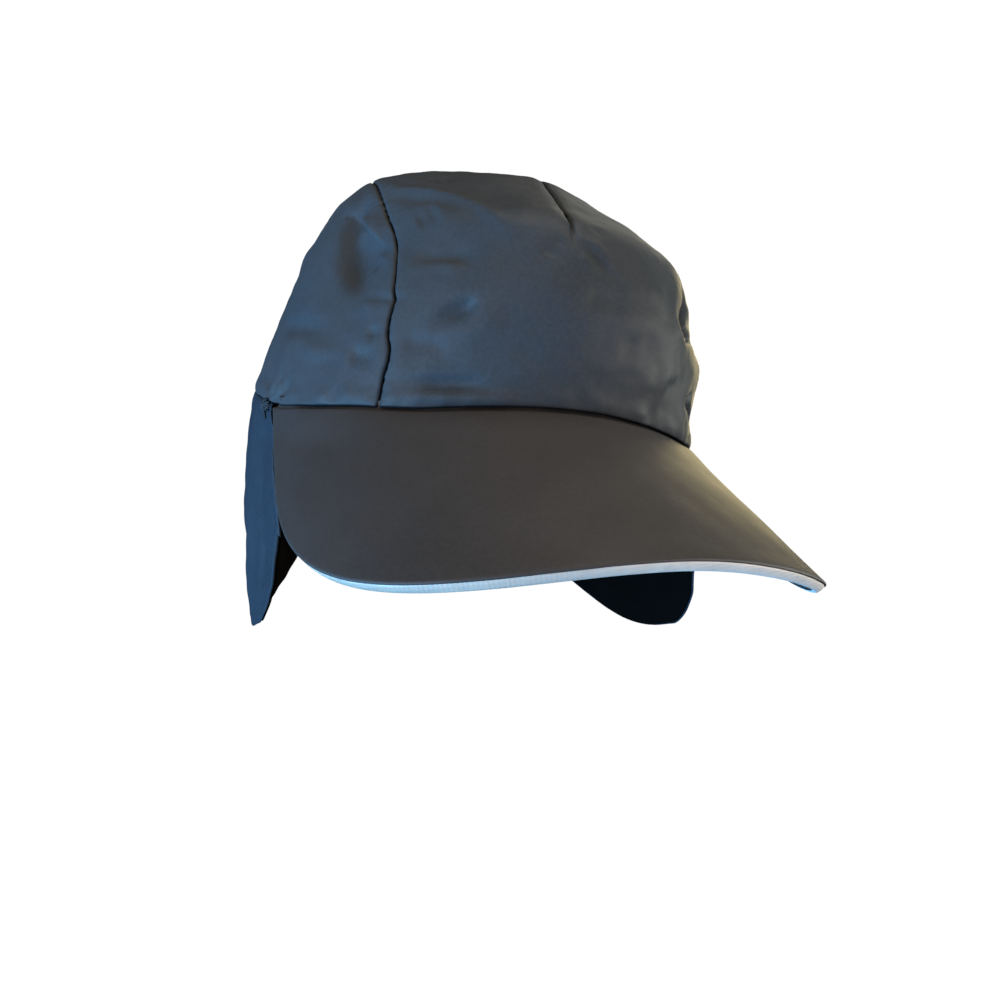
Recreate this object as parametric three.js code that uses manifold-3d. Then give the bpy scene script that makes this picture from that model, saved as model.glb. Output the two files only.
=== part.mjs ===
// Soft cap with a long curved peak and a neck and ear flap that hangs from its rim.
//
// Millimetres. +Z is up, -Y is the way the wearer looks, +X is the wearer's left.
// The origin is the middle of the rim, where the cap sits on a head, at the height of
// the rim at the nape.
//
// The crown is a shell of cloth lofted through a few level sections. Two seams run from the
// peak over the top to the nape and part it into a wide middle and two sides, and a cross
// seam over the top parts the middle into a front and a back panel. The peak is a sheet
// rolled to an arch and cut to a flat pattern. The flap is a double cloth band round the
// rim: an outer shell and a lining.

import * as THREE from 'three';
import { mergeVertices } from 'three/addons/utils/BufferGeometryUtils.js';
import Module from 'manifold-3d';

const wasm = await Module();
wasm.setup();

// ---------------------------------------------------------------- driving dimensions
const GAP = 0.3;            // clear space between pieces that are sewn together
const CROWN_WALL = 1.5;     // crown cloth with its seam allowances
const SHELL_WALL = 1.2;     // outer cloth of the flap
const LINING_WALL = 1.0;    // lining of the flap

// Crown sections, from the rim up: height, half width, reach to the front and to the back of
// the origin, and how square the section is (2 is an ellipse).
const CROWN_ROWS = [
  { z: 0.0, width: 88.3, front: 96.0, back: 97.2, square: 2.21 },
  { z: 22.4, width: 83.4, front: 97.2, back: 96.0, square: 2.15 },
  { z: 42.6, width: 77.7, front: 96.0, back: 91.5, square: 2.09 },
  { z: 66.3, width: 69.3, front: 85.6, back: 82.0, square: 2.02 },
  { z: 78.7, width: 63.1, front: 64.9, back: 66.9, square: 2.02 },
  { z: 88.6, width: 50.5, front: 46.4, back: 47.1, square: 2.01 },
  { z: 95.9, width: 27.0, front: 30.0, back: 26.0, square: 2.01 },
  { z: 100.5, width: 0.0, front: 0.0, back: 0.0, square: 2.0 },
];
const APEX_BACK = -2.2;     // how far behind the origin the top of the dome lies
const RIM_BACK_Z = -5.5;    // height of the rim at the nape

// Dents and folds of the crown cloth: middle of each, its half length along the wall level
// and up the wall, and how far the wall moves out (a dent is negative).
const CROWN_FOLDS = [
  { name: 'side_dent', x: -61.5, y: -52.0, z: 57.0, along: 13, up: 20, out: -4.5 },
  { name: 'side_swell', x: -71.0, y: -27.0, z: 52.0, along: 14, up: 24, out: 1.5 },
  { name: 'brow_hollow', x: -43.0, y: -73.0, z: 62.0, along: 20, up: 8, out: -1.8 },
  { name: 'top_saddle', x: -36.0, y: -36.0, z: 90.0, along: 9, up: 9, out: -0.7 },
  { name: 'brow_pinch', x: 55.0, y: -69.0, z: 56.0, along: 12, up: 10, out: -3.0 },
  { name: 'temple_swell', x: 62.0, y: -67.0, z: 41.0, along: 14, up: 9, out: 2.0 },
  { name: 'temple_pinch', x: 64.0, y: -68.0, z: 27.0, along: 12, up: 8, out: -2.0 },
  { name: 'nape_slack', x: 0.0, y: 94.0, z: 28.0, along: 40, up: 16, out: -1.5 },
];

// Seam lines seen from above, for the wearer's left; the right one mirrors it.
const SIDE_SEAM = [
  { y: -120, x: 61.0 },
  { y: -76, x: 58.0 },
  { y: -60, x: 55.4 },
  { y: -32, x: 56.6 },
  { y: 0, x: 54.5 },
  { y: 35, x: 48.5 },
  { y: 70, x: 40.0 },
  { y: 120, x: 30.0 },
];
const CROSS_SEAM_Y = 0.0;   // the seam over the top that parts front and back panel

// Peak: a sheet rolled to an arch and leaning down to the front.
const PEAK_ARCH_RADIUS = 117.5;
const PEAK_ARCH_TIGHTEN = 0.08;  // how much the arch closes toward its sides
const PEAK_SLOPE_DEG = 18.9;
const PEAK_ROOT_Z = 22.4;        // height of the peak's root at the middle of the front
const PEAK_HORN_DEG = 71.5;      // how far round the rim the peak's horns reach
const PEAK_ROOT_RISE = 2.5;       // how far the sewn edge rides up the crown near the horns
const PEAK_RISE_FADE = 22;        // and over what distance forward the sheet settles back
const PEAK_LENGTH = 66.4;        // root to edge at the middle, along the sheet
const PEAK_HALF_WIDTH = 94.4;    // half width along the arch
const PEAK_WIDEST_AT = -8.3;     // where it is widest, from the root's middle, along the sheet
const PEAK_CORNER = 2.72;        // how square its corners are (2 is an ellipse)
const PEAK_SIDE_BOW = 0.45;      // bow of its side edges
const PEAK_TOP_WALL = 1.0;       // upper cover
const PEAK_UNDER_WALL = 0.6;     // under cover at the edge, 3 mm elsewhere
const TRIM_HEIGHT = 2.1;         // pale strip between the covers
const TRIM_DEPTH = 3.4;
const TRIM_PROUD = 0.6;          // how far it stands out of the edge

// Flap band, from the wearer's right temple round the nape to the left temple. round is the
// angle from the front, drop how far it hangs, and the rest how it hangs off plumb for each
// millimetre of drop: out from the head, to the wearer's left, to the back, and how it curls
// out (negative: in) toward its lower edge.
const FLAP_ROWS = [
  { round: 74, drop: 42, out: 0.05, left: 0.12, back: -0.4, curl: -0.1 },
  { round: 80, drop: 61.3, out: 0.08, left: 0.12, back: -0.4, curl: -0.1 },
  { round: 90, drop: 81.6, out: 0.15, left: 0.12, back: -0.39, curl: -0.1 },
  { round: 104, drop: 92.6, out: 0.21, left: 0.12, back: -0.37, curl: -0.11 },
  { round: 118, drop: 84.2, out: 0.13, left: 0.11, back: -0.33, curl: -0.12 },
  { round: 134, drop: 66, out: 0.04, left: 0.1, back: -0.3, curl: -0.14 },
  { round: 154, drop: 56, out: 0.01, left: 0.09, back: -0.27, curl: -0.12 },
  { round: 180, drop: 50, out: 0.0, left: 0.08, back: -0.25, curl: -0.1 },
  { round: 206, drop: 56, out: 0.01, left: 0.09, back: -0.27, curl: -0.12 },
  { round: 226, drop: 66, out: 0.06, left: 0.1, back: -0.3, curl: -0.14 },
  { round: 242, drop: 86.4, out: 0.19, left: 0.1, back: -0.33, curl: -0.12 },
  { round: 256, drop: 96.8, out: 0.3, left: 0.1, back: -0.37, curl: -0.1 },
  { round: 270, drop: 85.5, out: 0.33, left: 0.1, back: -0.39, curl: -0.1 },
  { round: 280, drop: 63.2, out: 0.33, left: 0.1, back: -0.4, curl: -0.1 },
  { round: 286, drop: 42, out: 0.34, left: 0.1, back: -0.4, curl: -0.1 },
];

// Fineness of the faceted walls.
const CROWN_ROUND = 54;
const CROWN_UP = 15;
const PEAK_ACROSS = 36;
const PEAK_ALONG = 5;
const FLAP_ROUND = 44;
const FLAP_DOWN = 6;

// ---------------------------------------------------------------- small helpers
const rad = THREE.MathUtils.degToRad;
const vec = (x, y, z) => new THREE.Vector3(x, y, z);
const power = (v, p) => Math.sign(v) * Math.abs(v) ** p;
const clamp = THREE.MathUtils.clamp;

// Smooth value of every column of a table at a row number that may lie between rows.
function atRow(rows, r) {
  const last = rows.length - 1;
  const i = Math.min(Math.floor(clamp(r, 0, last)), last - 1);
  const t = clamp(r, 0, last) - i;
  const out = {};
  for (const key of Object.keys(rows[0])) {
    if (typeof rows[0][key] !== 'number') continue;
    const b = rows[i][key];
    const c = rows[i + 1][key];
    const a = i > 0 ? rows[i - 1][key] : 2 * b - c;
    const d = i + 2 <= last ? rows[i + 2][key] : 2 * c - b;
    out[key] = 0.5 * (2 * b + (c - a) * t + (2 * a - 5 * b + 4 * c - d) * t * t
      + (3 * b - a - 3 * c + d) * t ** 3);
  }
  return out;
}

// The same by the value of a rising first column.
function atValue(rows, key, value) {
  let i = 0;
  while (i < rows.length - 2 && rows[i + 1][key] < value) i += 1;
  const t = (value - rows[i][key]) / (rows[i + 1][key] - rows[i][key]);
  return atRow(rows, i + clamp(t, 0, 1));
}

// ---------------------------------------------------------------- peak sheet
const slope = rad(PEAK_SLOPE_DEG);
const peakForward = vec(0, -Math.cos(slope), -Math.sin(slope));
const peakUp = vec(0, -Math.sin(slope), Math.cos(slope));
const peakRoot = vec(0, -CROWN_ROWS[0].front, PEAK_ROOT_Z);

// Height of the arch over its flat sheet at an angle round the arch.
const archDrop = (a) => -PEAK_ARCH_RADIUS * (1 - Math.cos(a)) * (1 + PEAK_ARCH_TIGHTEN * a * a);

// Toward the horns the sewn edge rides up the crown a little: how far, at a distance x from the middle.
function rootRise(x) {
  const ease = (v) => { const k = clamp(v, 0, 1); return k * k * (3 - 2 * k); };
  const far = Math.abs(x);
  return PEAK_ROOT_RISE * ease((far - 44) / 29) * (1 - 0.55 * ease((far - 77) / 7.5));
}

// Where the sewn edge lies on the flat pattern, at a distance x from the middle.
function rootAhead(x) {
  const rim = CROWN_ROWS[0];
  const sn = Math.min((Math.abs(x) / rim.width) ** (rim.square / 2), Math.sin(rad(PEAK_HORN_DEG)));
  const y = -rim.front * Math.sqrt(1 - sn * sn) ** (2 / rim.square);
  const drop = archDrop(Math.asin(clamp(x / PEAK_ARCH_RADIUS, -0.999, 0.999)));
  return (y - peakRoot.y - drop * peakUp.y) / peakForward.y;
}

// A point of the sheet from its place on the flat pattern, w across and l forward.
function peakPoint(w, l, height = 0) {
  const place = (ww, ll = l) => {
    const a = ww / PEAK_ARCH_RADIUS;
    const x = PEAK_ARCH_RADIUS * Math.sin(a);
    const k = clamp((ll - rootAhead(x)) / PEAK_RISE_FADE, 0, 1);
    return peakRoot.clone()
      .addScaledVector(vec(1, 0, 0), x)
      .addScaledVector(peakUp, archDrop(a))
      .addScaledVector(peakForward, ll)
      .add(vec(0, 0, rootRise(x) * (1 - k * k * (3 - 2 * k))));
  };
  const p = place(w);
  if (!height) return p;
  const across = place(w + 0.5).sub(place(w - 0.5)).normalize();
  const normal = place(w, l + 0.5).sub(place(w, l - 0.5)).cross(across).normalize();
  if (normal.z < 0) normal.negate();
  return p.addScaledVector(normal, height);
}

// ---------------------------------------------------------------- crown
// The rim seen from above, at an angle from the front (the wearer's left is positive).
function levelPoint(theta, s) {
  const sn = power(Math.sin(theta), 2 / s.square);
  const cs = power(Math.cos(theta), 2 / s.square);
  return { x: s.width * sn, y: cs > 0 ? -s.front * cs : -s.back * cs };
}

// Where the crown meets the peak's sheet at that angle: pattern place and height.
function seamAt(theta) {
  const { x, y } = levelPoint(theta, CROWN_ROWS[0]);
  const a = Math.asin(clamp(x / PEAK_ARCH_RADIUS, -0.999, 0.999));
  const drop = archDrop(a);
  const l = (y - peakRoot.y - drop * peakUp.y) / peakForward.y;
  return { w: PEAK_ARCH_RADIUS * a, l, z: peakRoot.z + drop * peakUp.z + l * peakForward.z + rootRise(x) };
}

function rimHeight(theta) {
  const horn = rad(PEAK_HORN_DEG);
  const z = seamAt(clamp(theta, -horn, horn)).z;
  const k = clamp((Math.abs(theta) - horn) / (Math.PI - horn), 0, 1);
  const blend = k * k * (3 - 2 * k);
  return z * (1 - blend) + RIM_BACK_Z * blend;
}

function smoothCrown(theta, row) {
  const s = atRow(CROWN_ROWS, row);
  const { x, y } = levelPoint(theta, s);
  const top = CROWN_ROWS[CROWN_ROWS.length - 1].z;
  const rim = rimHeight(theta);
  const rise = row / (CROWN_ROWS.length - 1);
  return vec(x, y + APEX_BACK * rise * rise, rim + (top - rim) * (s.z / top));
}

function crownNormal(theta, row) {
  const last = CROWN_ROWS.length - 1;
  const r = Math.min(row, last - 0.12);
  const d = 0.03;
  const level = smoothCrown(theta + d, r).sub(smoothCrown(theta - d, r));
  const up = smoothCrown(theta, Math.min(r + d, last)).sub(smoothCrown(theta, Math.max(r - d, 0)));
  const n = level.cross(up).normalize();
  return row > last - 0.12 ? vec(0, 0, 1) : n;
}

function foldAt(p, normal) {
  const side = vec(-normal.y, normal.x, 0).normalize();
  const up = normal.clone().cross(side).normalize();
  let out = 0;
  for (const f of CROWN_FOLDS) {
    const d = p.clone().sub(vec(f.x, f.y, f.z));
    if (d.length() > 3 * Math.max(f.along, f.up)) continue;
    const a = d.dot(side) / f.along;
    const b = d.dot(up) / f.up;
    const c = d.dot(normal) / (f.along + f.up);
    out += f.out * Math.exp(-(a * a + b * b + c * c));
  }
  return out;
}

// A point of the crown wall, depth in from its outer face.
function crownPoint(theta, row, depth = 0) {
  const p = smoothCrown(theta, row);
  const n = crownNormal(theta, row);
  const q = p.clone().addScaledVector(n, foldAt(p, n) - depth);
  if (row === 0) q.z = p.z;
  return q;
}

// ---------------------------------------------------------------- closed meshes
// A closed mesh from its corners and its triangles, turned so that its faces point out.
function closed(points, triangles) {
  let volume = 0;
  for (const [a, b, c] of triangles) {
    volume += points[a].dot(points[b].clone().cross(points[c]));
  }
  const geometry = new THREE.BufferGeometry();
  const flat = new Float32Array(points.length * 3);
  points.forEach((p, i) => p.toArray(flat, i * 3));
  geometry.setAttribute('position', new THREE.BufferAttribute(flat, 3));
  geometry.setIndex(triangles.flatMap(([a, b, c]) => (volume > 0 ? [a, b, c] : [a, c, b])));
  return mergeVertices(geometry, 1e-3);
}

// A sheet with thickness: upper(i, j) and under(i, j) are its two faces' points.
function thickSheet(across, down, upper, under) {
  const points = [];
  const triangles = [];
  const index = (face, i, j) => face * (across + 1) * (down + 1) + j * (across + 1) + i;
  for (const face of [upper, under]) {
    for (let j = 0; j <= down; j += 1) {
      for (let i = 0; i <= across; i += 1) points.push(face(i / across, j / down));
    }
  }
  const quad = (a, b, c, d) => triangles.push([a, b, c], [a, c, d]);
  for (let j = 0; j < down; j += 1) {
    for (let i = 0; i < across; i += 1) {
      quad(index(0, i, j), index(0, i + 1, j), index(0, i + 1, j + 1), index(0, i, j + 1));
      quad(index(1, i, j), index(1, i, j + 1), index(1, i + 1, j + 1), index(1, i + 1, j));
    }
  }
  for (let i = 0; i < across; i += 1) {
    quad(index(0, i, 0), index(1, i, 0), index(1, i + 1, 0), index(0, i + 1, 0));
    quad(index(0, i, down), index(0, i + 1, down), index(1, i + 1, down), index(1, i, down));
  }
  for (let j = 0; j < down; j += 1) {
    quad(index(0, 0, j), index(0, 0, j + 1), index(1, 0, j + 1), index(1, 0, j));
    quad(index(0, across, j), index(1, across, j), index(1, across, j + 1), index(0, across, j + 1));
  }
  return closed(points, triangles);
}

// A closed outline carried along stations, with flat ends.
function sweptOutline(stations, outlineAt, capOutline) {
  const points = [];
  const triangles = [];
  const size = capOutline.length;
  for (let s = 0; s <= stations; s += 1) points.push(...outlineAt(s / stations));
  for (let s = 0; s < stations; s += 1) {
    for (let k = 0; k < size; k += 1) {
      const n = (k + 1) % size;
      const a = s * size;
      const b = a + size;
      triangles.push([a + k, b + k, b + n], [a + k, b + n, a + n]);
    }
  }
  const cap = THREE.ShapeUtils.triangulateShape(capOutline, []);
  const turned = THREE.ShapeUtils.isClockWise(capOutline);
  for (const [a, b, c] of cap) {
    const end = stations * size;
    triangles.push(turned ? [a, c, b] : [a, b, c]);
    triangles.push(turned ? [end + a, end + b, end + c] : [end + a, end + c, end + b]);
  }
  return closed(points, triangles);
}

const toSolid = (geometry) => {
  const g = mergeVertices(new THREE.BufferGeometry()
    .setAttribute('position', geometry.getAttribute('position').clone())
    .setIndex(geometry.index ? geometry.index.clone() : null), 1e-3);
  return new wasm.Manifold(new wasm.Mesh({
    numProp: 3,
    vertProperties: new Float32Array(g.getAttribute('position').array),
    triVerts: new Uint32Array(g.index.array),
  }));
};

const fromSolid = (solid) => {
  const mesh = solid.getMesh();
  const g = new THREE.BufferGeometry();
  const n = mesh.vertProperties.length / mesh.numProp;
  const flat = new Float32Array(n * 3);
  for (let i = 0; i < n; i += 1) {
    for (let k = 0; k < 3; k += 1) flat[i * 3 + k] = mesh.vertProperties[i * mesh.numProp + k];
  }
  g.setAttribute('position', new THREE.BufferAttribute(flat, 3));
  g.setIndex(Array.from(mesh.triVerts));
  return mergeVertices(g, 1e-3);
};

// ---------------------------------------------------------------- crown panels
// The whole crown as one shell: an outer face, an inner face and the rim between them.
function crownShell() {
  const points = [];
  const triangles = [];
  const rows = CROWN_ROWS.length - 1;
  const face = (depth) => {
    const start = points.length;
    for (let j = 0; j < CROWN_UP; j += 1) {
      for (let i = 0; i < CROWN_ROUND; i += 1) {
        const p = crownPoint((i / CROWN_ROUND) * 2 * Math.PI - Math.PI, (j / CROWN_UP) * rows, depth);
        if (j === 0) p.z += GAP;
        points.push(p);
      }
    }
    points.push(crownPoint(0, rows, depth));
    return start;
  };
  const outer = face(0);
  const inner = face(CROWN_WALL);
  const at = (start, i, j) => start + j * CROWN_ROUND + (i % CROWN_ROUND);
  for (let i = 0; i < CROWN_ROUND; i += 1) {
    for (let j = 0; j < CROWN_UP - 1; j += 1) {
      for (const [s, flip] of [[outer, false], [inner, true]]) {
        const [a, b, c, d] = [at(s, i, j), at(s, i + 1, j), at(s, i + 1, j + 1), at(s, i, j + 1)];
        triangles.push(flip ? [a, c, b] : [a, b, c], flip ? [a, d, c] : [a, c, d]);
      }
    }
    const topRow = CROWN_UP - 1;
    const topOuter = outer + CROWN_UP * CROWN_ROUND;
    const topInner = inner + CROWN_UP * CROWN_ROUND;
    triangles.push([at(outer, i, topRow), at(outer, i + 1, topRow), topOuter]);
    triangles.push([at(inner, i, topRow), topInner, at(inner, i + 1, topRow)]);
    triangles.push([at(outer, i, 0), at(inner, i, 0), at(inner, i + 1, 0)]);
    triangles.push([at(outer, i, 0), at(inner, i + 1, 0), at(outer, i + 1, 0)]);
  }
  return closed(points, triangles);
}

// A tall block seen from above as a given outline.
function block(outline) {
  const shape = new THREE.Shape(outline.map(([x, y]) => new THREE.Vector2(x, y)));
  const g = new THREE.ExtrudeGeometry(shape, { depth: 260, bevelEnabled: false, steps: 1 });
  g.translate(0, 0, -130);
  g.deleteAttribute('normal');
  g.deleteAttribute('uv');
  return mergeVertices(g, 1e-3);
}

function seamLine(shift, from, to) {
  const line = [];
  const steps = 12;
  for (let i = 0; i <= steps; i += 1) {
    const y = from + ((to - from) * i) / steps;
    line.push([atValue(SIDE_SEAM, 'y', y).x + shift, y]);
  }
  return line;
}

const mirrored = (line) => line.map(([x, y]) => [-x, y]).reverse();
const half = GAP / 2;
const shell = toSolid(crownShell());
const middleBlock = (from, to) => {
  const line = seamLine(-half, from, to);
  return toSolid(block([...line, ...mirrored(line)]));
};
const frontPanel = shell.intersect(middleBlock(-119, CROSS_SEAM_Y - half));
const backPanel = shell.intersect(middleBlock(CROSS_SEAM_Y + half, 119));
const sideLine = seamLine(half, -119, 119);
const leftBlock = toSolid(block([...sideLine, [120, 119], [120, -119]]));
const rightBlock = toSolid(block([...mirrored(sideLine), [-120, -119], [-120, 119]]));
const sidePanelLeft = shell.intersect(leftBlock);
const sidePanelRight = shell.intersect(rightBlock);

// ---------------------------------------------------------------- peak pieces
const horn = seamAt(rad(PEAK_HORN_DEG));

// Half of the pattern's outer edge, from the horn to the middle of the front.
function edgeHalf() {
  const line = [];
  for (let i = 0; i < 60; i += 1) {
    const t = i / 60;
    const control = PEAK_WIDEST_AT - PEAK_SIDE_BOW * (PEAK_WIDEST_AT - horn.l);
    line.push({
      w: (1 - t) ** 2 * horn.w + 2 * t * (1 - t) * PEAK_HALF_WIDTH + t * t * PEAK_HALF_WIDTH,
      l: (1 - t) ** 2 * horn.l + 2 * t * (1 - t) * control + t * t * PEAK_WIDEST_AT,
    });
  }
  for (let i = 0; i <= 140; i += 1) {
    const q = (i / 140) * (Math.PI / 2);
    line.push({
      w: PEAK_HALF_WIDTH * Math.abs(Math.cos(q)) ** (2 / PEAK_CORNER),
      l: PEAK_WIDEST_AT + (PEAK_LENGTH - PEAK_WIDEST_AT) * Math.abs(Math.sin(q)) ** (2 / PEAK_CORNER),
    });
  }
  return line;
}

function seamHalf() {
  const line = [];
  for (let i = 0; i <= 160; i += 1) line.push(seamAt(rad(PEAK_HORN_DEG) * (1 - i / 160)));
  return line;
}

// The place where a half line crosses the ray at an angle from the horns' line.
function onRay(line, psi) {
  const angle = (p) => Math.atan2(p.l - horn.l, p.w);
  let i = 0;
  while (i < line.length - 2 && angle(line[i + 1]) < psi) i += 1;
  const a = angle(line[i]);
  const b = angle(line[i + 1]);
  const t = clamp((psi - a) / Math.max(b - a, 1e-9), 0, 1);
  return {
    w: line[i].w + (line[i + 1].w - line[i].w) * t,
    l: line[i].l + (line[i + 1].l - line[i].l) * t,
  };
}

const edgeLine = edgeHalf();
const seamCurve = seamHalf();
const FIRST_RAY = 0.075;  // the horns end where the peak is about 2 mm wide

// Root, edge and width of the peak at a station from 0, the right horn, to 1, the left one.
function peakStation(s) {
  const side = s < 0.5 ? -1 : 1;
  const t = 1 - Math.abs(2 * s - 1);
  const eased = t * (1.35 - 0.35 * t);
  const psi = FIRST_RAY + (Math.PI / 2 - FIRST_RAY) * Math.min(1, eased);
  const root = onRay(seamCurve, psi);
  const edge = onRay(edgeLine, psi);
  const width = Math.hypot(edge.w - root.w, edge.l - root.l);
  const step = (d) => {
    const r = d / width;
    return { w: side * (root.w + (edge.w - root.w) * r), l: root.l + (edge.l - root.l) * r };
  };
  return { width, step };
}

// An outline of the peak's section: rows of [distance from the root as a share of the part
// before the trim, extra distance, height].
function peakPiece(outline) {
  const at = (s) => {
    const { width, step } = peakStation(s);
    const trim = Math.min(TRIM_DEPTH, 0.45 * width);
    return outline.map(({ share, trims, past, height }) => {
      const { w, l } = step(GAP + share * (width - trim - GAP) + trims * trim + past);
      return peakPoint(w, l, height);
    });
  };
  const cap = outline.map(({ share, trims, past, height }) => new THREE.Vector2(
    share * 10 + trims * 3 + past * 0.1, height));
  return sweptOutline(PEAK_ACROSS, at, cap);
}

const run = (height, reverse = false) => {
  const line = [];
  for (let k = 0; k <= PEAK_ALONG; k += 1) line.push({ share: k / PEAK_ALONG, trims: 0, past: 0, height });
  return reverse ? line.reverse() : line;
};
const underside = -(PEAK_TOP_WALL + 1.7 * GAP);  // a little more room, for the bend by the horns
const trimFoot = underside - TRIM_HEIGHT;
const peakTop = peakPiece([
  ...run(0), { share: 1, trims: 1, past: 0, height: 0 },
  { share: 1, trims: 1, past: 0, height: -PEAK_TOP_WALL }, ...run(-PEAK_TOP_WALL, true),
]);
const peakUnder = peakPiece([
  ...run(underside),
  { share: 1, trims: 0, past: 0, height: trimFoot - GAP },
  { share: 1, trims: 1, past: 0, height: trimFoot - GAP },
  { share: 1, trims: 1, past: 0, height: trimFoot - GAP - PEAK_UNDER_WALL },
  ...run(trimFoot - GAP - PEAK_UNDER_WALL, true),
]);
const peakTrim = peakPiece([
  { share: 1, trims: 0, past: GAP, height: underside },
  { share: 1, trims: 1, past: TRIM_PROUD, height: underside },
  { share: 1, trims: 1, past: TRIM_PROUD, height: trimFoot },
  { share: 1, trims: 0, past: GAP, height: trimFoot },
]);

// ---------------------------------------------------------------- flap band
function flapFace(round, share, depth) {
  const f = atValue(FLAP_ROWS, 'round', round);
  const at = (deg, s) => {
    const r = atValue(FLAP_ROWS, 'round', deg);
    const theta = rad(deg <= 180 ? -deg : 360 - deg);
    const p = smoothCrown(theta, 0);
    const drop = s;
    const out = r.out * drop + (r.curl * drop * drop) / 80;
    return vec(
      p.x + Math.sin(theta) * out + r.left * drop,
      p.y - Math.cos(theta) * out + r.back * drop,
      p.z - GAP - drop,
    );
  };
  const drop = share * f.drop;
  const first = FLAP_ROWS[0].round;
  const last = FLAP_ROWS[FLAP_ROWS.length - 1].round;
  const p = at(round, drop);
  const level = at(Math.min(round + 1, last), drop).sub(at(Math.max(round - 1, first), drop));
  const down = at(round, drop + 1).sub(at(round, Math.max(drop - 1, 0)));
  const normal = level.cross(down).normalize();
  const theta = rad(round <= 180 ? -round : 360 - round);
  if (normal.x * Math.sin(theta) - normal.y * Math.cos(theta) < 0) normal.negate();
  return p.addScaledVector(normal, -depth);
}

function flapPiece(outer, inner) {
  const first = FLAP_ROWS[0].round;
  const last = FLAP_ROWS[FLAP_ROWS.length - 1].round;
  const at = (depth) => (i, j) => flapFace(first + (last - first) * i, j, depth);
  return thickSheet(FLAP_ROUND, FLAP_DOWN, at(outer), at(inner));
}

const flapShell = flapPiece(0, SHELL_WALL);
const flapLining = flapPiece(SHELL_WALL + GAP, SHELL_WALL + GAP + LINING_WALL);

// ---------------------------------------------------------------- the cap
const navy = { color: 0x2c3b50, roughness: 0.72, metalness: 0 };
const charcoal = { color: 0x38383b, roughness: 0.8, metalness: 0 };
const pale = { color: 0xb3c4d6, roughness: 0.55, metalness: 0 };
const black = { color: 0x101114, roughness: 0.95, metalness: 0 };

const cap = new THREE.Group();
const add = (name, geometry, look) => {
  const mesh = new THREE.Mesh(geometry, new THREE.MeshStandardMaterial(look));
  mesh.name = name;
  cap.add(mesh);
};
add('crown_front_panel', fromSolid(frontPanel), navy);
add('crown_back_panel', fromSolid(backPanel), navy);
add('crown_side_panel_left', fromSolid(sidePanelLeft), navy);
add('crown_side_panel_right', fromSolid(sidePanelRight), navy);
add('peak_top_cover', peakTop, charcoal);
add('peak_trim', peakTrim, pale);
add('peak_under_cover', peakUnder, charcoal);
add('ear_flap_shell', flapShell, navy);
add('ear_flap_lining', flapLining, black);

export default cap;
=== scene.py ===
"""Looks of the earflap cap: fine cloth panels with seams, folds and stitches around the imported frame."""
import math

import bpy
import numpy as np
from mathutils import Matrix, Vector


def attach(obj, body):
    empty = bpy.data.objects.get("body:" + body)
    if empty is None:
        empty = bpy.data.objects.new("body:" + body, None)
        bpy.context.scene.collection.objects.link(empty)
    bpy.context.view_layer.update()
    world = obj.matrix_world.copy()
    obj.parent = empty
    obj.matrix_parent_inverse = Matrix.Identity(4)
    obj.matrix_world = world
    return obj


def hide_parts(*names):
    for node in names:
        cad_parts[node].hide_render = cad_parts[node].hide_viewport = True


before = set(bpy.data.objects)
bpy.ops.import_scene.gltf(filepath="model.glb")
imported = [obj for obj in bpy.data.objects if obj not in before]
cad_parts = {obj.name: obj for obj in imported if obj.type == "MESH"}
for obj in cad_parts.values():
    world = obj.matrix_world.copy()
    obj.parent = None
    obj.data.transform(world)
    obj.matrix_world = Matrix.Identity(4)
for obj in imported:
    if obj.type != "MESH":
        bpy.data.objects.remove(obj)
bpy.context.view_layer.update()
MM = 0.001
scene = bpy.context.scene

# ------------------------------------------------------------------ camera
CAMERA_AT = (-98.59, -253.02, 35.94)
CAMERA_AXES = ((0.9058223, -0.3857754, 0.1751094),
               (-0.0630270, 0.2860198, 0.9561487),
               (-0.4189434, -0.8771374, 0.2347689))
camera = bpy.data.objects.new("camera", bpy.data.cameras.new("camera"))
scene.collection.objects.link(camera)
camera.data.sensor_width = 36.0
camera.data.lens = 21.92
camera.data.clip_start = 0.01
camera.data.clip_end = 60
camera.matrix_world = Matrix.Translation(Vector(CAMERA_AT) * MM) @ Matrix(CAMERA_AXES).transposed().to_4x4()
scene.camera = camera

# ------------------------------------------------------------------ the cap's form, as in the CAD source
ROWS = np.array([  # z, half width, front, back, square
    (0.0, 88.3, 96.0, 97.2, 2.21),
    (22.4, 83.4, 97.2, 96.0, 2.15),
    (42.6, 77.7, 96.0, 91.5, 2.09),
    (66.3, 69.3, 85.6, 82.0, 2.02),
    (78.7, 63.1, 64.9, 66.9, 2.02),
    (88.6, 50.5, 46.4, 47.1, 2.01),
    (95.9, 27.0, 30.0, 26.0, 2.01),
    (100.5, 0.0, 0.0, 0.0, 2.0),
])
LAST = len(ROWS) - 1
APEX_BACK = -2.2
RIM_BACK_Z = -5.5
SIDE_SEAM = np.array([  # y, x
    (-120, 61.0), (-76, 58.0), (-60, 55.4), (-32, 56.6), (0, 54.5), (35, 48.5), (70, 40.0), (120, 30.0),
], float)
SEAM_DRIFT = np.array([  # z, how far the wearer's-right seam wanders outward in front
    (0, 0.6), (15, 0.6), (19.7, 0.3), (23.4, 0.1), (27.1, -0.7), (30.6, -0.85), (34.9, 0.2), (38.9, 0.2), (43.1, -0.4),
    (48, 0.2), (52.4, 0.5), (56.5, 1.1), (60.7, 1.6), (64.3, 1.7), (67.2, 1.7), (70.7, 1.7), (73.4, 1.3), (75.8, 0.8),
    (79, 0.3), (84, 0.0), (102, 0.0),
])
ARCH_R, ARCH_TIGHT = 117.5, 0.08
SLOPE = math.radians(18.9)
ROOT_Z = 22.4
HORN = math.radians(71.5)
RISE, RISE_FADE = 2.5, 22.0
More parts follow.
